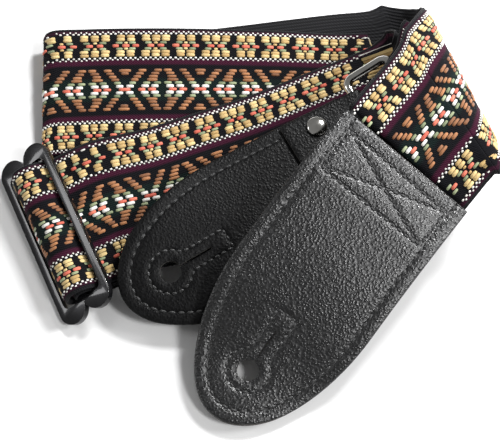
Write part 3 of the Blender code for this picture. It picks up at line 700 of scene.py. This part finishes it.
def leather_material(name, dark, light, roughness, gloss, pebble=1.0):
    """Pebbled leather: one size of warped cell, fine pores, and gloss that varies from cell to cell."""
    made, bsdf, tree = shader(name, roughness, Specular_IOR_Level=gloss)
    space = object_space(tree)
    warp = texture(tree, space, "Noise", Scale=260.0, Detail=3.0)
    push = tree.nodes.new("ShaderNodeVectorMath")
    push.operation = "MULTIPLY_ADD"
    tree.links.new(warp.outputs["Color"], push.inputs[0])
    push.inputs[1].default_value = (0.0012, 0.0012, 0.0012)
    tree.links.new(space, push.inputs[2])
    cells = texture(tree, push.outputs[0], "Voronoi", feature="SMOOTH_F1", Scale=1150.0, Smoothness=0.5)
    fine = texture(tree, space, "Noise", Scale=2600.0, Detail=5.0, Roughness=0.6)
    broad = texture(tree, space, "Noise", Scale=45.0, Detail=4.0)
    gap = cells.outputs["Distance"]
    height = maths(tree, "MULTIPLY_ADD", fine.outputs["Fac"], 0.45, maths(tree, "SUBTRACT", 1.0, gap))
    tone = maths(tree, "MULTIPLY_ADD", broad.outputs["Fac"], 0.6, maths(tree, "MULTIPLY", gap, 0.35))
    paint(tree, bsdf, tone, [(0.25, dark), (0.75, light)])
    rough = maths(tree, "MULTIPLY_ADD", gap, 0.4, roughness - 0.14)
    tree.links.new(rough, bsdf.inputs["Roughness"])
    bump(tree, bsdf, height, 0.00028 * pebble, 1.0)
    return made


def fibre_material(name, dark, light):
    """Cut edge or flesh side of leather: pale broken fibres."""
    made, bsdf, tree = shader(name, 0.9, Specular_IOR_Level=0.2)
    space = object_space(tree)
    fibres = texture(tree, space, "Noise", Scale=1500.0, Detail=6.0, Roughness=0.75)
    paint(tree, bsdf, fibres.outputs["Fac"], [(0.35, dark), (0.68, light)])
    bump(tree, bsdf, fibres.outputs["Fac"], 0.0004, 0.9)
    return made


def metal_material(name, dark, light, roughness, metal=1.0, coat=0.0):
    """Metal with faint smears in its tone and gloss."""
    made, bsdf, tree = shader(name, roughness, metal, Coat_Weight=coat, Coat_Roughness=0.08)
    space = object_space(tree)
    smear = texture(tree, space, "Noise", Scale=160.0, Detail=5.0)
    paint(tree, bsdf, smear.outputs["Fac"], [(0.3, dark), (0.7, light)])
    rough = maths(tree, "MULTIPLY_ADD", smear.outputs["Fac"], 0.14, roughness - 0.06)
    tree.links.new(rough, bsdf.inputs["Roughness"])
    return made


def sewing_thread_material():
    """Black twisted thread."""
    made, bsdf, tree = shader("sewing_thread", 0.38, Specular_IOR_Level=0.7, Sheen_Weight=0.3)
    space = object_space(tree)
    twist = texture(tree, space, "Wave", Scale=700.0, Distortion=2.0, Detail=2.0)
    paint(tree, bsdf, twist.outputs["Fac"], [(0.2, srgb(6, 6, 7)), (0.8, srgb(24, 24, 26))])
    bump(tree, bsdf, twist.outputs["Fac"], 0.0001, 0.6)
    return made


# ---------------------------------------------------------------- leather


def tab_outline(inset=0.0, start=0.0, step=1.1):
    """Closed outline of a tab, u from the broad end; sides are straight and the tip is half an ellipse."""
    half, tip = TAB_HALF - inset, TIP_LENGTH - inset
    shoulder = TAB_LENGTH - TIP_LENGTH
    sides = int((shoulder - start) / step)
    points = [(start + (shoulder - start) * i / sides, half) for i in range(sides)]
    segments = int(140 / step)
    for i in range(segments + 1):
        a = math.pi / 2 - math.pi * i / segments
        points.append((shoulder + tip * math.cos(a), half * math.sin(a)))
    points += [(start + (shoulder - start) * (sides - 1 - i) / sides, -half) for i in range(sides)]
    return points


def keyhole(centre, segments=48):
    """A round hole with a slit towards the broad end."""
    opening = math.asin(SLOT_HALF / HOLE_RADIUS)
    points = []
    for i in range(segments + 1):
        a = math.pi - opening - (2 * math.pi - 2 * opening) * i / segments
        points.append((centre + HOLE_RADIUS * math.cos(a), HOLE_RADIUS * math.sin(a)))
    for i in range(1, 9):
        points.append((centre - HOLE_RADIUS - (SLOT_LENGTH - HOLE_RADIUS) * i / 8, -SLOT_HALF))
    for i in range(8, 0, -1):
        points.append((centre - HOLE_RADIUS - (SLOT_LENGTH - HOLE_RADIUS) * i / 8, SLOT_HALF))
    return points


def keyhole_line(centre):
    """The seam round a keyhole, closed across the slit's end."""
    opening = math.asin(KEYHOLE_NECK / KEYHOLE_SEAM)
    points = [(centre - KEYHOLE_END, KEYHOLE_NECK)]
    for i in range(41):
        a = math.pi - opening - (2 * math.pi - 2 * opening) * i / 40
        points.append((centre + KEYHOLE_SEAM * math.cos(a), KEYHOLE_SEAM * math.sin(a)))
    points.append((centre - KEYHOLE_END, -KEYHOLE_NECK))
    return points + points[:1]


def resampled(line, step):
    """Points at equal spacing along a polyline."""
    line = np.array(line, float)
    gaps = np.linalg.norm(np.diff(line, axis=0), axis=1)
    run = np.concatenate([[0.0], np.cumsum(gaps)])
    count = max(int(round(run[-1] / step)), 1)
    spots = np.linspace(0.0, run[-1], count + 1)
    return np.stack([np.interp(spots, run, line[:, i]) for i in range(line.shape[1])], -1)


def inside(loop, points):
    """Which points are inside a closed loop."""
    x, y = points[:, 0], points[:, 1]
    found = np.zeros(len(points), bool)
    for (x1, y1), (x2, y2) in zip(loop, np.roll(loop, -1, 0)):
        if y1 == y2:
            continue
        crosses = (y1 > y) != (y2 > y)
        found ^= crosses & (x < (x2 - x1) * (y - y1) / (y2 - y1) + x1)
    return found


def distance_to(line, points, closed=False):
    """Distance from each point to a polyline."""
    line = np.array(line, float)
    ends = np.roll(line, -1, 0) if closed else line[1:]
    starts = line if closed else line[:-1]
    best = np.full(len(points), 1e9)
    for a, b in zip(starts, ends):
        along = b - a
        share = np.clip(((points - a) @ along) / max(along @ along, 1e-12), 0, 1)
        best = np.minimum(best, np.linalg.norm(points - a - share[:, None] * along, axis=1))
    return best


def between(loops, points):
    """Which points are inside the first loop and outside the others."""
    keep = inside(loops[0], points)
    for loop in loops[1:]:
        keep &= ~inside(loop, points)
    return keep


def rim_and_seam_points(outline, seams):
    """Flat points along both sides of each seam and just inside the outline."""
    extra = []
    for seam in seams:
        line = resampled(seam, 1.0)
        tangent = unit(np.gradient(line, axis=0))
        side = np.stack([-tangent[:, 1], tangent[:, 0]], 1)
        for reach in (-0.95, -0.45, 0.0, 0.45, 0.95):
            extra.append(line + side * reach)
    for inset in (0.3, 0.8):
        centre = outline.mean(0)
        normal = unit(np.roll(outline, -1, 0) - np.roll(outline, 1, 0))
        inward = np.stack([normal[:, 1], -normal[:, 0]], 1)
        inward *= np.sign(((centre - outline) * inward).sum(1))[:, None]
        extra.append(outline + inward * inset)
    return np.concatenate(extra)


def triangulated(loops, seams, grid):
    """Flat points and triangles of a plate, with more points at its seams and edges."""
    flat, edges = [], []
    for loop in loops:
        first = len(flat)
        flat += [tuple(p) for p in loop]
        edges += [(first + i, first + (i + 1) % len(loop)) for i in range(len(loop))]
    low, high = loops[0].min(0), loops[0].max(0)
    rows = np.arange(low[0] + grid / 2, high[0], grid)
    columns = np.arange(low[1] + grid / 2, high[1], grid * 0.87)
    field = np.array([(u + (i % 2) * grid / 2, t) for i, t in enumerate(columns) for u in rows])
    taken = np.array(flat)
    for group, clear in ((rim_and_seam_points(loops[0], seams), 0.2), (field, 0.75)):
        group = group[between(loops, group)]
        near = np.full(len(group), 1e9)
        for start in range(0, len(group), 500):
            part = group[start : start + 500]
            near[start : start + 500] = np.linalg.norm(part[:, None] - taken[None], axis=2).min(1)
        flat += [tuple(p) for p in group[near > clear]]
        taken = np.array(flat)
    result = delaunay_2d_cdt([Vector(p) for p in flat], edges, [], 0, 1e-5)
    points = np.array([tuple(p) for p in result[0]])
    triangles = np.array([f for f in result[2]])
    return points, triangles[between(loops, points[triangles].mean(1))]


def leather_plate(name, route, outline, holes, seams, top, bottom, materials, grid=1.5):
    """Leather cut to an outline: rounded edges, a groove under each seam, and a slight swell.

    top and bottom are functions of the flat points. materials are the grain, the flesh and the edge.
    """
    loops = [np.array(outline)] + [np.array(hole) for hole in holes]
    points, triangles = triangulated(loops, seams, grid)
    edge = np.minimum.reduce([distance_to(loop, points, closed=True) for loop in loops])
    round_off = EDGE_ROUND * np.clip(1 - edge / EDGE_REACH, 0, 1) ** 2
    groove = np.zeros(len(points))
    for seam in seams:
        reach = distance_to(seam, points)
        dip = GROOVE_DEPTH * np.exp(-((reach / GROOVE_WIDTH) ** 2))
        swell = GROOVE_SWELL * np.exp(-(((reach - 1.2) / 0.5) ** 2))
        groove = np.maximum(groove, dip - swell)
    upper = top(points) - round_off - groove
    lower = bottom(points) + round_off * 0.5
    high_points = route.place(points[:, 0], points[:, 1], upper)
    low_points = route.place(points[:, 0], points[:, 1], lower)
    count = len(points)
    faces = [tuple(t) for t in triangles] + [tuple(t[::-1] + count) for t in triangles]
    slots = [0] * len(triangles) + [1] * len(triangles)
    pairs = np.concatenate([triangles[:, [0, 1]], triangles[:, [1, 2]], triangles[:, [2, 0]]])
    used = {(int(a), int(b)) for a, b in pairs}
    middle_points = route.place(points[:, 0], points[:, 1], (upper + lower) / 2)
    rim = [(a, b) for a, b in used if (b, a) not in used]
    number = {}
    bulge = []
    for a, b in rim:
        for v in (a, b):
            if v not in number:
                number[v] = 2 * count + len(bulge)
                bulge.append(middle_points[v])
    for a, b in rim:
        faces.append((b, a, number[a], number[b]))
        faces.append((number[b], number[a], a + count, b + count))
        slots += [2, 2]
    all_points = np.vstack([high_points, low_points, np.array(bulge)])
    obj = face_out(new_mesh(name, all_points, faces, materials, slots=slots))
    obj.data.set_sharp_from_angle(angle=math.radians(50))
    return obj


def stitches(name, route, lines, level, material, pitch=3.1, long=2.55, radius=0.4):
    """Separate stitches along each line; level is a function of flat points, and the ends dip under."""
    points, faces = [], []
    around, rings = 6, 5
    for line in lines:
        spots = resampled(line, pitch)
        for a, b in zip(spots[:-1], spots[1:]):
            step = b - a
            size = np.linalg.norm(step)
            along = step / size
            side = np.array([-along[1], along[0]])
            middle = (a + b) / 2
            first = len(points)
            for i in range(rings):
                share = i / (rings - 1) * 2 - 1
                thick = radius * (1.0 - 0.45 * share**4)
                rise = 0.10 - 0.5 * share**4
                for j in range(around):
                    c = 2 * math.pi * j / around
                    flat = middle + along * share * long * size / pitch / 2 + side * thick * math.cos(c)
                    points.append((flat[0], flat[1], rise + thick * 0.85 * math.sin(c)))
            for i in range(rings - 1):
                for j in range(around):
                    k = (j + 1) % around
                    faces.append((first + i * around + j, first + i * around + k,
                                  first + (i + 1) * around + k, first + (i + 1) * around + j))
            faces.append(tuple(first + j for j in reversed(range(around))))
            faces.append(tuple(first + (rings - 1) * around + j for j in range(around)))
    table = np.array(points)
    heights = level(table[:, :2]) - 0.3 + table[:, 2]
    placed = route.place(table[:, 0], table[:, 1], heights)
    return face_out(new_mesh(name, placed, faces, [material]))


# ---------------------------------------------------------------- metal


def rounded_rectangle(low, high, half, corner, arcs):
    """Points round a rectangle from x low to high and y -half to half, each with its outward way."""
    centres = [(high - corner, half - corner), (low + corner, half - corner),
               (low + corner, -half + corner), (high - corner, -half + corner)]
    points = []
    for quarter, (x, y) in enumerate(centres):
        for i in range(arcs + 1):
            a = math.pi / 2 * (quarter + i / arcs)
            points.append((x + corner * math.cos(a), y + corner * math.sin(a), math.cos(a), math.sin(a)))
    return points


def ring_directions(tilt=0.0):
    """Unit vectors across the ring's bars, along them, and out of its plane."""
    turn, lean, lift = (math.radians(a) for a in (RING_ANGLE, tilt, RING_LIFT))
    along = np.array([-math.sin(turn) * math.cos(lift), math.cos(turn) * math.cos(lift), math.sin(lift)])
    level = np.array([math.cos(turn), math.sin(turn), 0.0])
    out = np.cross(level, along)
    across = level * math.cos(lean) + out * math.sin(lean)
    return across, along, np.cross(across, along)


def make_ring(metal):
    """A wire rectangle with rounded corners."""
    across, along, out = ring_directions(RING_TILT)
    middle = np.array(RING_BAR) + across * RING_REACH / 2 + along * RING_OFFSET
    line = rounded_rectangle(-RING_REACH / 2, RING_REACH / 2, RING_LENGTH / 2, RING_CORNER, 12)
    points, faces, around = [], [], 20
    for x, y, nx, ny in line:
        centre = middle + across * x + along * y
        outward = across * nx + along * ny
        for j in range(around):
            a = 2 * math.pi * j / around
            points.append(centre + RING_WIRE * (math.cos(a) * outward + math.sin(a) * out))
    count = len(line)
    for i in range(count):
        n = (i + 1) % count
        for j in range(around):
            k = (j + 1) % around
            faces.append((i * around + j, i * around + k, n * around + k, n * around + j))
    return face_out(new_mesh("ring_wire", points, faces, [metal]))


def slider_place(points):
    """World points of points in the slider's own directions."""
    turn, lean, lift = (math.radians(a) for a in (SLIDER_ANGLE, SLIDER_TILT, SLIDER_LIFT))
    e = np.array([math.cos(turn), math.sin(turn), 0.0])
    w = np.array([-math.sin(turn) * math.cos(lift), math.cos(turn) * math.cos(lift), math.sin(lift)])
    up = np.cross(e, w)
    across = e * math.cos(lean) + up * math.sin(lean)
    out = np.cross(across, w)
    centre = np.array([*SLIDER_CENTRE, BAR_HEIGHT])
    return [centre + across * x + w * y + out * z for x, y, z in points]


def prism(name, outline, half, material):
    """A flat outline made a solid, in the slider's place."""
    points = [(x, y, half) for x, y in outline] + [(x, y, -half) for x, y in outline]
    count = len(outline)
    faces = [tuple(range(count)), tuple(reversed(range(count, 2 * count)))]
    faces += [(i, i + count, (i + 1) % count + count, (i + 1) % count) for i in range(count)]
    return face_out(new_mesh(name, slider_place(points), faces, [material], smooth=False))


def make_slider(metal, rim):
    """Cast frame with lobed ends and two slots; every edge is rounded, and the rounds carry bright metal as
    painted highlight.
    """
    lobe = SLIDER_WIDTH / 4
    outline = []
    for end in (1, -1):
        for side in (1, -1):
            for i in range(21):
                a = math.radians(-4 + 188 * i / 20) + (0 if end == 1 else math.pi)
                outline.append((end * side * lobe + lobe * math.cos(a),
                                end * (SLIDER_LENGTH / 2 - lobe) + lobe * math.sin(a)))
    body = prism("slider_body", outline, SLIDER_THICK / 2, metal)
    inner = SLIDER_WIDTH / 2 - RAIL
    for low, high in ((BAR_HALF, inner), (-inner, -BAR_HALF)):
        slot = [point[:2] for point in rounded_rectangle(low, high, SLOT_LONG / 2, SLOT_CORNER, 8)]
        cutter = prism("slot_cutter", slot, 6.0, metal)
        modifier = body.modifiers.new("slot", "BOOLEAN")
        modifier.operation = "DIFFERENCE"
        modifier.object = cutter
        apply_modifiers(body)
        bpy.data.objects.remove(cutter, do_unlink=True)
    bevel = body.modifiers.new("edges", "BEVEL")
    bevel.width = SLIDER_BEVEL * MM
    bevel.segments = 4
    bevel.limit_method = "ANGLE"
    bevel.angle_limit = math.radians(40)
    # The bevels take bright metal: a painted highlight along every rounded edge.
    body.data.materials.append(rim)
    bevel.material = 1
    apply_modifiers(body)
    body.data.polygons.foreach_set("use_smooth", np.full(len(body.data.polygons), True))
    body.data.set_sharp_from_angle(angle=math.radians(35))
    return body


def apply_modifiers(obj):
    """The mesh as its modifiers leave it."""
    bpy.context.view_layer.update()
    graph = bpy.context.evaluated_depsgraph_get()
    mesh = bpy.data.meshes.new_from_object(obj.evaluated_get(graph))
    obj.modifiers.clear()
    obj.data = mesh


def lathe(name, foot, up, profile, material, around=28):
    """A turned piece; profile is (radius, height) pairs from the foot up, closed on the axis."""
    side = unit(np.cross(up, [0.0, 1.0, 0.2]))
    other = np.cross(up, side)
    points, faces = [foot + up * profile[0][1]], []
    for radius, height in profile:
        for j in range(around):
            a = 2 * math.pi * j / around
            points.append(foot + up * height + radius * (math.cos(a) * side + math.sin(a) * other))
    points.append(foot + up * profile[-1][1])
    last = len(points) - 1
    for j in range(around):
        k = (j + 1) % around
        faces.append((0, 1 + j, 1 + k))
        for i in range(len(profile) - 1):
            here, above = 1 + i * around, 1 + (i + 1) * around
            faces.append((here + j, here + k, above + k, above + j))
        faces.append((last, last - around + k, last - around + j))
    obj = face_out(new_mesh(name, points, faces, [material]))
    obj.data.set_sharp_from_angle(angle=math.radians(50))
    return obj


def make_rivets(metal):
    """Domed heads above the flap and caps below it."""
    across, along, out = ring_directions()
    bar = np.array(RING_BAR)
    head = [(RIVET_HEAD - 0.25, 0.0), (RIVET_HEAD, 0.12), (RIVET_HEAD, 0.3)]
    for i in range(1, 9):
        a = math.pi / 2 * i / 9
        head.append((RIVET_HEAD * math.cos(a), 0.3 + 1.35 * math.sin(a)))
    head.append((0.05, 1.66))
    back = [(2.8, 0.0), (2.8, 0.35), (2.4, 0.55), (1.0, 0.6), (0.7, 0.45), (0.05, 0.42)]
    pieces = []
    for side, word in ((1, "rear"), (-1, "front")):
        foot = bar - across * RIVET_U + along * side * RIVET_T
        top = foot + out * (FLAP_TOP + FLAP_THICK - bar[2] + 0.02)
        low = foot + out * (FLAP_BOTTOM - FLAP_THICK - bar[2] - 0.02)
        pieces.append((lathe(f"rivet_dome_{word}", top, out, head, metal), f"rivet_head_{word}"))
        pieces.append((lathe(f"rivet_cap_{word}", low, -out, back, metal), f"rivet_back_{word}"))
    return pieces


def make_flap(leather, edge):
    """Leather folded round the ring's bar, with rounded cut edges."""
    across, along, out = ring_directions()
    bar = np.array(RING_BAR)
    thick = FLAP_THICK
    line = [(x, FLAP_TOP - bar[2] + thick / 2) for x in np.linspace(FLAP_UPPER_LEG, -6.0, 18)]
    reach = FLAP_INNER + thick / 2
    for i in range(1, 24):
        a = math.radians(112 - 224 * i / 24)
        line.append((reach * math.cos(a), reach * math.sin(a)))
    line += [(x, FLAP_BOTTOM - bar[2] - thick / 2) for x in np.linspace(-6.0, FLAP_LOWER_LEG, 14)]
    line = resampled(line, 0.9)
    tangent = unit(np.gradient(line, axis=0))
    normal = np.stack([-tangent[:, 1], tangent[:, 0]], 1)
    middle = list(np.linspace(-FLAP_HALF + 1.2, FLAP_HALF - 1.2, 28))
    widths = [-FLAP_HALF, -FLAP_HALF + 0.3] + middle + [FLAP_HALF - 0.3, FLAP_HALF]
    edge_trim = {0: 0.28, 1: 0.06, len(widths) - 2: 0.06, len(widths) - 1: 0.28}
    count, wide = len(line), len(widths)
    points = []
    for side in (1, -1):
        for i in range(count):
            for j, t in enumerate(widths):
                trim = edge_trim.get(j, 0.0) + (0.2 if i in (0, count - 1) else 0.0)
                groove = 0.28 * math.exp(-(((FLAP_HALF - abs(t)) - 3.2) / 0.6) ** 2) if side == 1 else 0.0
                p = line[i] + normal[i] * side * (thick / 2 - trim - groove)
                points.append(bar + across * p[0] + out * p[1] + along * t)
    faces, slots = [], []
    size = count * wide
    for i in range(count - 1):
        for j in range(wide - 1):
            a, b = i * wide + j, (i + 1) * wide + j
            faces.append((a, a + 1, b + 1, b))
            faces.append((a + size, b + size, b + 1 + size, a + 1 + size))
            slots += [0, 0]
    for i in range(count - 1):
        for j in (0, wide - 1):
            a, b = i * wide + j, (i + 1) * wide + j
            faces.append((a, b, b + size, a + size))
            slots.append(1)
    for j in range(wide - 1):
        for i in (0, count - 1):
            a = i * wide + j
            faces.append((a, a + 1, a + 1 + size, a + size))
            slots.append(1)
    flap = face_out(new_mesh("ring_flap_leather", points, faces, [leather, edge], slots=slots))
    flap.data.set_sharp_from_angle(angle=math.radians(50))
    return flap


# ---------------------------------------------------------------- assembly


def make_strap(route):
    """Ribbon, webbing and floats, in a front zone and a zone for the rest."""
    ground, ribs = ribbon_material(), webbing_material()
    colours = {
        "tan": thread_material("yarn_tan", srgb(172, 132, 72), srgb(240, 214, 152)),
        "coral": thread_material("yarn_coral", srgb(192, 76, 58), srgb(240, 132, 106)),
        "sage": thread_material("yarn_sage", srgb(96, 108, 76), srgb(172, 182, 142)),
        "brown": thread_material("yarn_brown", srgb(104, 62, 36), srgb(186, 126, 80)),
        "white": thread_material("yarn_white", srgb(214, 212, 202), srgb(255, 254, 248)),
    }
    ribbon_profile = rounded_profile(RIBBON_HALF, WEBBING_HIGH - 0.02, RIBBON_TOP, 0.18, 9)
    web_profile = rounded_profile(STRAP_HALF, WEBBING_LOW, WEBBING_HIGH, 0.5, 7)
    floats = all_floats(route.length)
    zones = {"front": (0.0, FRONT_PLY), "strap": (FRONT_PLY, route.length)}
    pieces = {}
    for zone, (start, end) in zones.items():
        ribbon = sweep(f"ribbon_{zone}", route, ribbon_profile, start, end, ground)
        webbing = sweep(f"webbing_{zone}", route, web_profile, start, end, ribs)
        yarns = []
        for colour, rows in floats.items():
            rows = [row for row in rows if start <= row[0] < end]
            yarn = float_pieces(f"floats_{colour}_{zone}", route, rows, colours[colour])
            yarns.append(yarn)
        pieces[zone] = (ribbon, webbing, yarns)
    return pieces


def add_strap(strap):
    """The strap's pieces; the first stretch is baked in place and the rest hangs on the strap body."""
    pieces = make_strap(strap)
    start = (strap.ruling(BEND_START, 0.0, 0.0) - ORIGIN) * MM
    end = (strap.ruling(BEND_END, 0.0, 0.0) - ORIGIN) * MM
    for zone, (ribbon, webbing, yarns) in pieces.items():
        for obj in (ribbon, webbing, *yarns):
            if zone == "strap":
                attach(obj, "strap")
            else:
                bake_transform(obj)
    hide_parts("jacquard_ribbon")
    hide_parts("webbing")


def front_top(p):
    """Height of the front tab's grain off its middle: it settles past the end of the strap inside."""
    settle = 1 / (1 + np.exp(-(p[:, 0] - 26.0) / 1.6))
    wave = 0.10 * np.sin(p[:, 0] * 0.16 + 1.0) * np.cos(p[:, 1] * 0.12)
    return 2.45 - 0.45 * settle + wave


def front_inner(p):
    """Half the gap that the strap's end leaves between the front tab's face and back."""
    settle = 1 / (1 + np.exp(-(p[:, 0] - 27.0) / 1.2))
    return 1.0 - 0.95 * settle


def rear_top(p):
    """Height of the rear tab's grain off its middle."""
    return 1.55 + 0.10 * np.sin(p[:, 0] * 0.15) * np.cos(p[:, 1] * 0.14)


def level(height):
    """The same height at every flat point."""
    return lambda p: np.full(len(p), height)


def add_front_tab(front, grain, flesh, edge, thread):
    """Face, back and seams of the front tab."""
    hole = TAB_LENGTH - FRONT_HOLE
    rim = tab_outline(STITCH_INSET, 0.6, 1.0)
    corners = [(BOX_NEAR, -BOX_HALF), (BOX_FAR, -BOX_HALF), (BOX_FAR, BOX_HALF), (BOX_NEAR, BOX_HALF)]
    box = corners + corners[:1]
    cross_a, cross_b = [corners[0], corners[2]], [corners[3], corners[1]]
    key = keyhole_line(hole)
    seams = [rim, box, cross_a, cross_b, key]
    face = leather_plate("front_tab_grain", front, tab_outline(), [keyhole(hole)], seams,
                         front_top, front_inner, [grain, flesh, edge])
    back = leather_plate("front_tab_flesh", front, tab_outline(), [keyhole(hole)], [],
                         lambda p: -front_inner(p), level(-1.85), [flesh, flesh, edge], grid=2.6)
    edge_seam = stitches("front_edge_stitches", front, [rim], front_top, thread)
    key_seam = stitches("front_keyhole_stitches", front, [key], front_top, thread, pitch=2.5, long=2.0)
    box_seam = stitches("front_box_stitches", front, [box], front_top, thread, pitch=2.7, long=2.2)
    cross_seam = stitches("front_cross_stitches", front, [cross_a, cross_b], front_top, thread,
                          pitch=2.7, long=2.2)
    for obj, cad, slot in (
        (face, "front_tab_face", "black_leather"),
        (back, "front_tab_back", "black_suede"),
        (edge_seam, "front_edge_thread", "black_thread"),
        (key_seam, "front_keyhole_thread", "black_thread"),
        (box_seam, "front_box_thread", "black_thread"),
        (cross_seam, "front_cross_thread_a", "black_thread"),
    ):
        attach(obj, "front_tab")
        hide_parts(cad)


def add_rear_tab(rear, grain, flesh, edge, thread):
    """Face, back and seams of the rear tab."""
    hole = TAB_LENGTH - REAR_HOLE
    rim = tab_outline(STITCH_INSET, 31.0, 1.0)
    key = keyhole_line(hole)
    outline = tab_outline(0.0, REAR_START)
    face = leather_plate("rear_tab_grain", rear, outline, [keyhole(hole)], [rim, key],
                         rear_top, level(0.03), [grain, flesh, edge])
    back = leather_plate("rear_tab_flesh", rear, outline, [keyhole(hole)], [],
                         level(-0.03), level(-1.2), [flesh, flesh, edge], grid=2.6)
    edge_seam = stitches("rear_edge_stitches", rear, [rim], rear_top, thread)
    key_seam = stitches("rear_keyhole_stitches", rear, [key], rear_top, thread, pitch=2.5, long=2.0)
    for obj, cad, slot in (
        (face, "rear_tab_face", "black_leather"),
        (back, "rear_tab_back", "black_suede"),
        (edge_seam, "rear_edge_thread", "black_thread"),
        (key_seam, "rear_keyhole_thread", "black_thread"),
    ):
        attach(obj, "strap")
        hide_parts(cad)


def add_metalwork(nickel, grain, edge):
    """Ring, flap, rivets and slider, and finishes for the CAD nodes that stay as they are."""
    ring = make_ring(nickel)
    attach(ring, "ring")
    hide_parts("ring")
    flap = make_flap(grain, edge)
    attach(flap, "strap")
    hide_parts("ring_flap")
    for obj, cad in make_rivets(nickel):
        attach(obj, "strap")
        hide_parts(cad)
    black = metal_material("slider_black", srgb(20, 20, 22), srgb(34, 34, 37), 0.24, 0.6, coat=0.5)
    # Bright metal for the slider's rounded edges: painted highlight along the bevels.
    rim = metal_material("slider_rim_painted_highlight", srgb(120, 120, 122), srgb(214, 213, 210), 0.2)
    slider = make_slider(black, rim)
    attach(slider, "slider")
    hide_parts("slider_frame")
    finishes = {
        "rivet_post_front": nickel,
        "rivet_post_rear": nickel,
        "strap_end_in_front_tab": webbing_material(),
    }
    for name, finish in finishes.items():
        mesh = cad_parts[name].data
        mesh.materials.clear()
        mesh.materials.append(finish)


def main():
    """Every piece of the strap."""
    add_strap(Route(STRAP_ROUTE + on_slider(OVER_BAR) + TOP_ROUTE + on_slider(ROUND_BAR)))
    grain = leather_material("leather_grain", srgb(5, 5, 6), srgb(14, 14, 16), 0.27, 0.9, pebble=0.75)
    # A darker, duller copy of the grain leather for the rear tab and the ring's flap: its darker colour is
    # painted shade.
    shaded_grain = leather_material("leather_grain_painted_shade", srgb(4, 4, 5), srgb(12, 12, 13), 0.42, 0.2, pebble=0.6)
    flesh = fibre_material("leather_flesh", srgb(20, 19, 19), srgb(52, 50, 48))
    edge = fibre_material("leather_edge", srgb(30, 29, 28), srgb(140, 137, 132))
    thread = sewing_thread_material()
    nickel = metal_material("nickel", srgb(190, 188, 182), srgb(232, 230, 226), 0.14)
    add_front_tab(Route(FRONT_TAB_ROUTE, flip=True), grain, flesh, edge, thread)
    add_rear_tab(Route(REAR_TAB_ROUTE, flip=True), shaded_grain, flesh, edge, thread)
    add_metalwork(nickel, shaded_grain, edge)


# Name, place in metres, size in metres and power in watts.
LIGHTS = [
    ("front_light", (0.42, -0.26, 0.6), 0.14, 2.6),
    ("back_light", (0.3, 0.36, 0.46), 0.12, 4.4),
    ("right_light", (0.6, 0.05, 0.36), 0.16, 2.2),
    ("left_light", (-0.6, 0.02, 0.36), 0.16, 0.6),
]
FLOOR_HALF = 900
WORLD_STRENGTH = 0.22
LENS, VIEW_TILT, VIEW_DISTANCE, VIEW_HEIGHT = 86.4, 65.0, 0.4, 15.0


def make_stage():
    """Pale floor, soft light and the camera."""
    corners = np.array([(-1, -1, 0), (1, -1, 0), (1, 1, 0), (-1, 1, 0)]) * FLOOR_HALF
    floor = new_mesh("floor", corners + ORIGIN, [(0, 1, 2, 3)], [], smooth=False)
    made, bsdf, tree = shader("pale_floor", 0.9)
    grain = node(tree, "ShaderNodeTexNoise", Scale=40.0, Detail=2.0)
    paint(tree, bsdf, grain.outputs["Fac"], [(0.3, (0.93, 0.93, 0.93)), (0.7, (0.95, 0.95, 0.95))])
    floor.data.materials.append(made)

    world = bpy.data.worlds.new("studio")
    bpy.context.scene.world = world
    world.use_nodes = True
    world.node_tree.nodes["Background"].inputs["Color"].default_value = (1.0, 1.0, 1.0, 1.0)
    world.node_tree.nodes["Background"].inputs["Strength"].default_value = WORLD_STRENGTH

    for name, place, size, power in LIGHTS:
        light = bpy.data.lights.new(name, "AREA")
        light.size = size
        light.energy = power
        lamp = bpy.data.objects.new(name, light)
        lamp.location = place
        lamp.rotation_euler = (Vector((0.0, 0.0, 0.01)) - Vector(place)).to_track_quat("-Z", "Y").to_euler()
        bpy.context.scene.collection.objects.link(lamp)

    lens = bpy.data.cameras.new("camera")
    lens.lens = LENS
    lens.sensor_width = 36.0
    camera = bpy.data.objects.new("camera", lens)
    target = (np.array([0.0, 0.0, VIEW_HEIGHT]) - ORIGIN) * MM
    tilt = math.radians(VIEW_TILT)
    offset = np.array([0.0, -math.cos(tilt), math.sin(tilt)]) * VIEW_DISTANCE
    camera.location = target + offset
    camera.rotation_euler = (math.pi / 2 - tilt, 0.0, 0.0)
    bpy.context.scene.collection.objects.link(camera)
    bpy.context.scene.camera = camera
    bpy.context.scene.view_settings.view_transform = "Standard"


main()
make_stage()
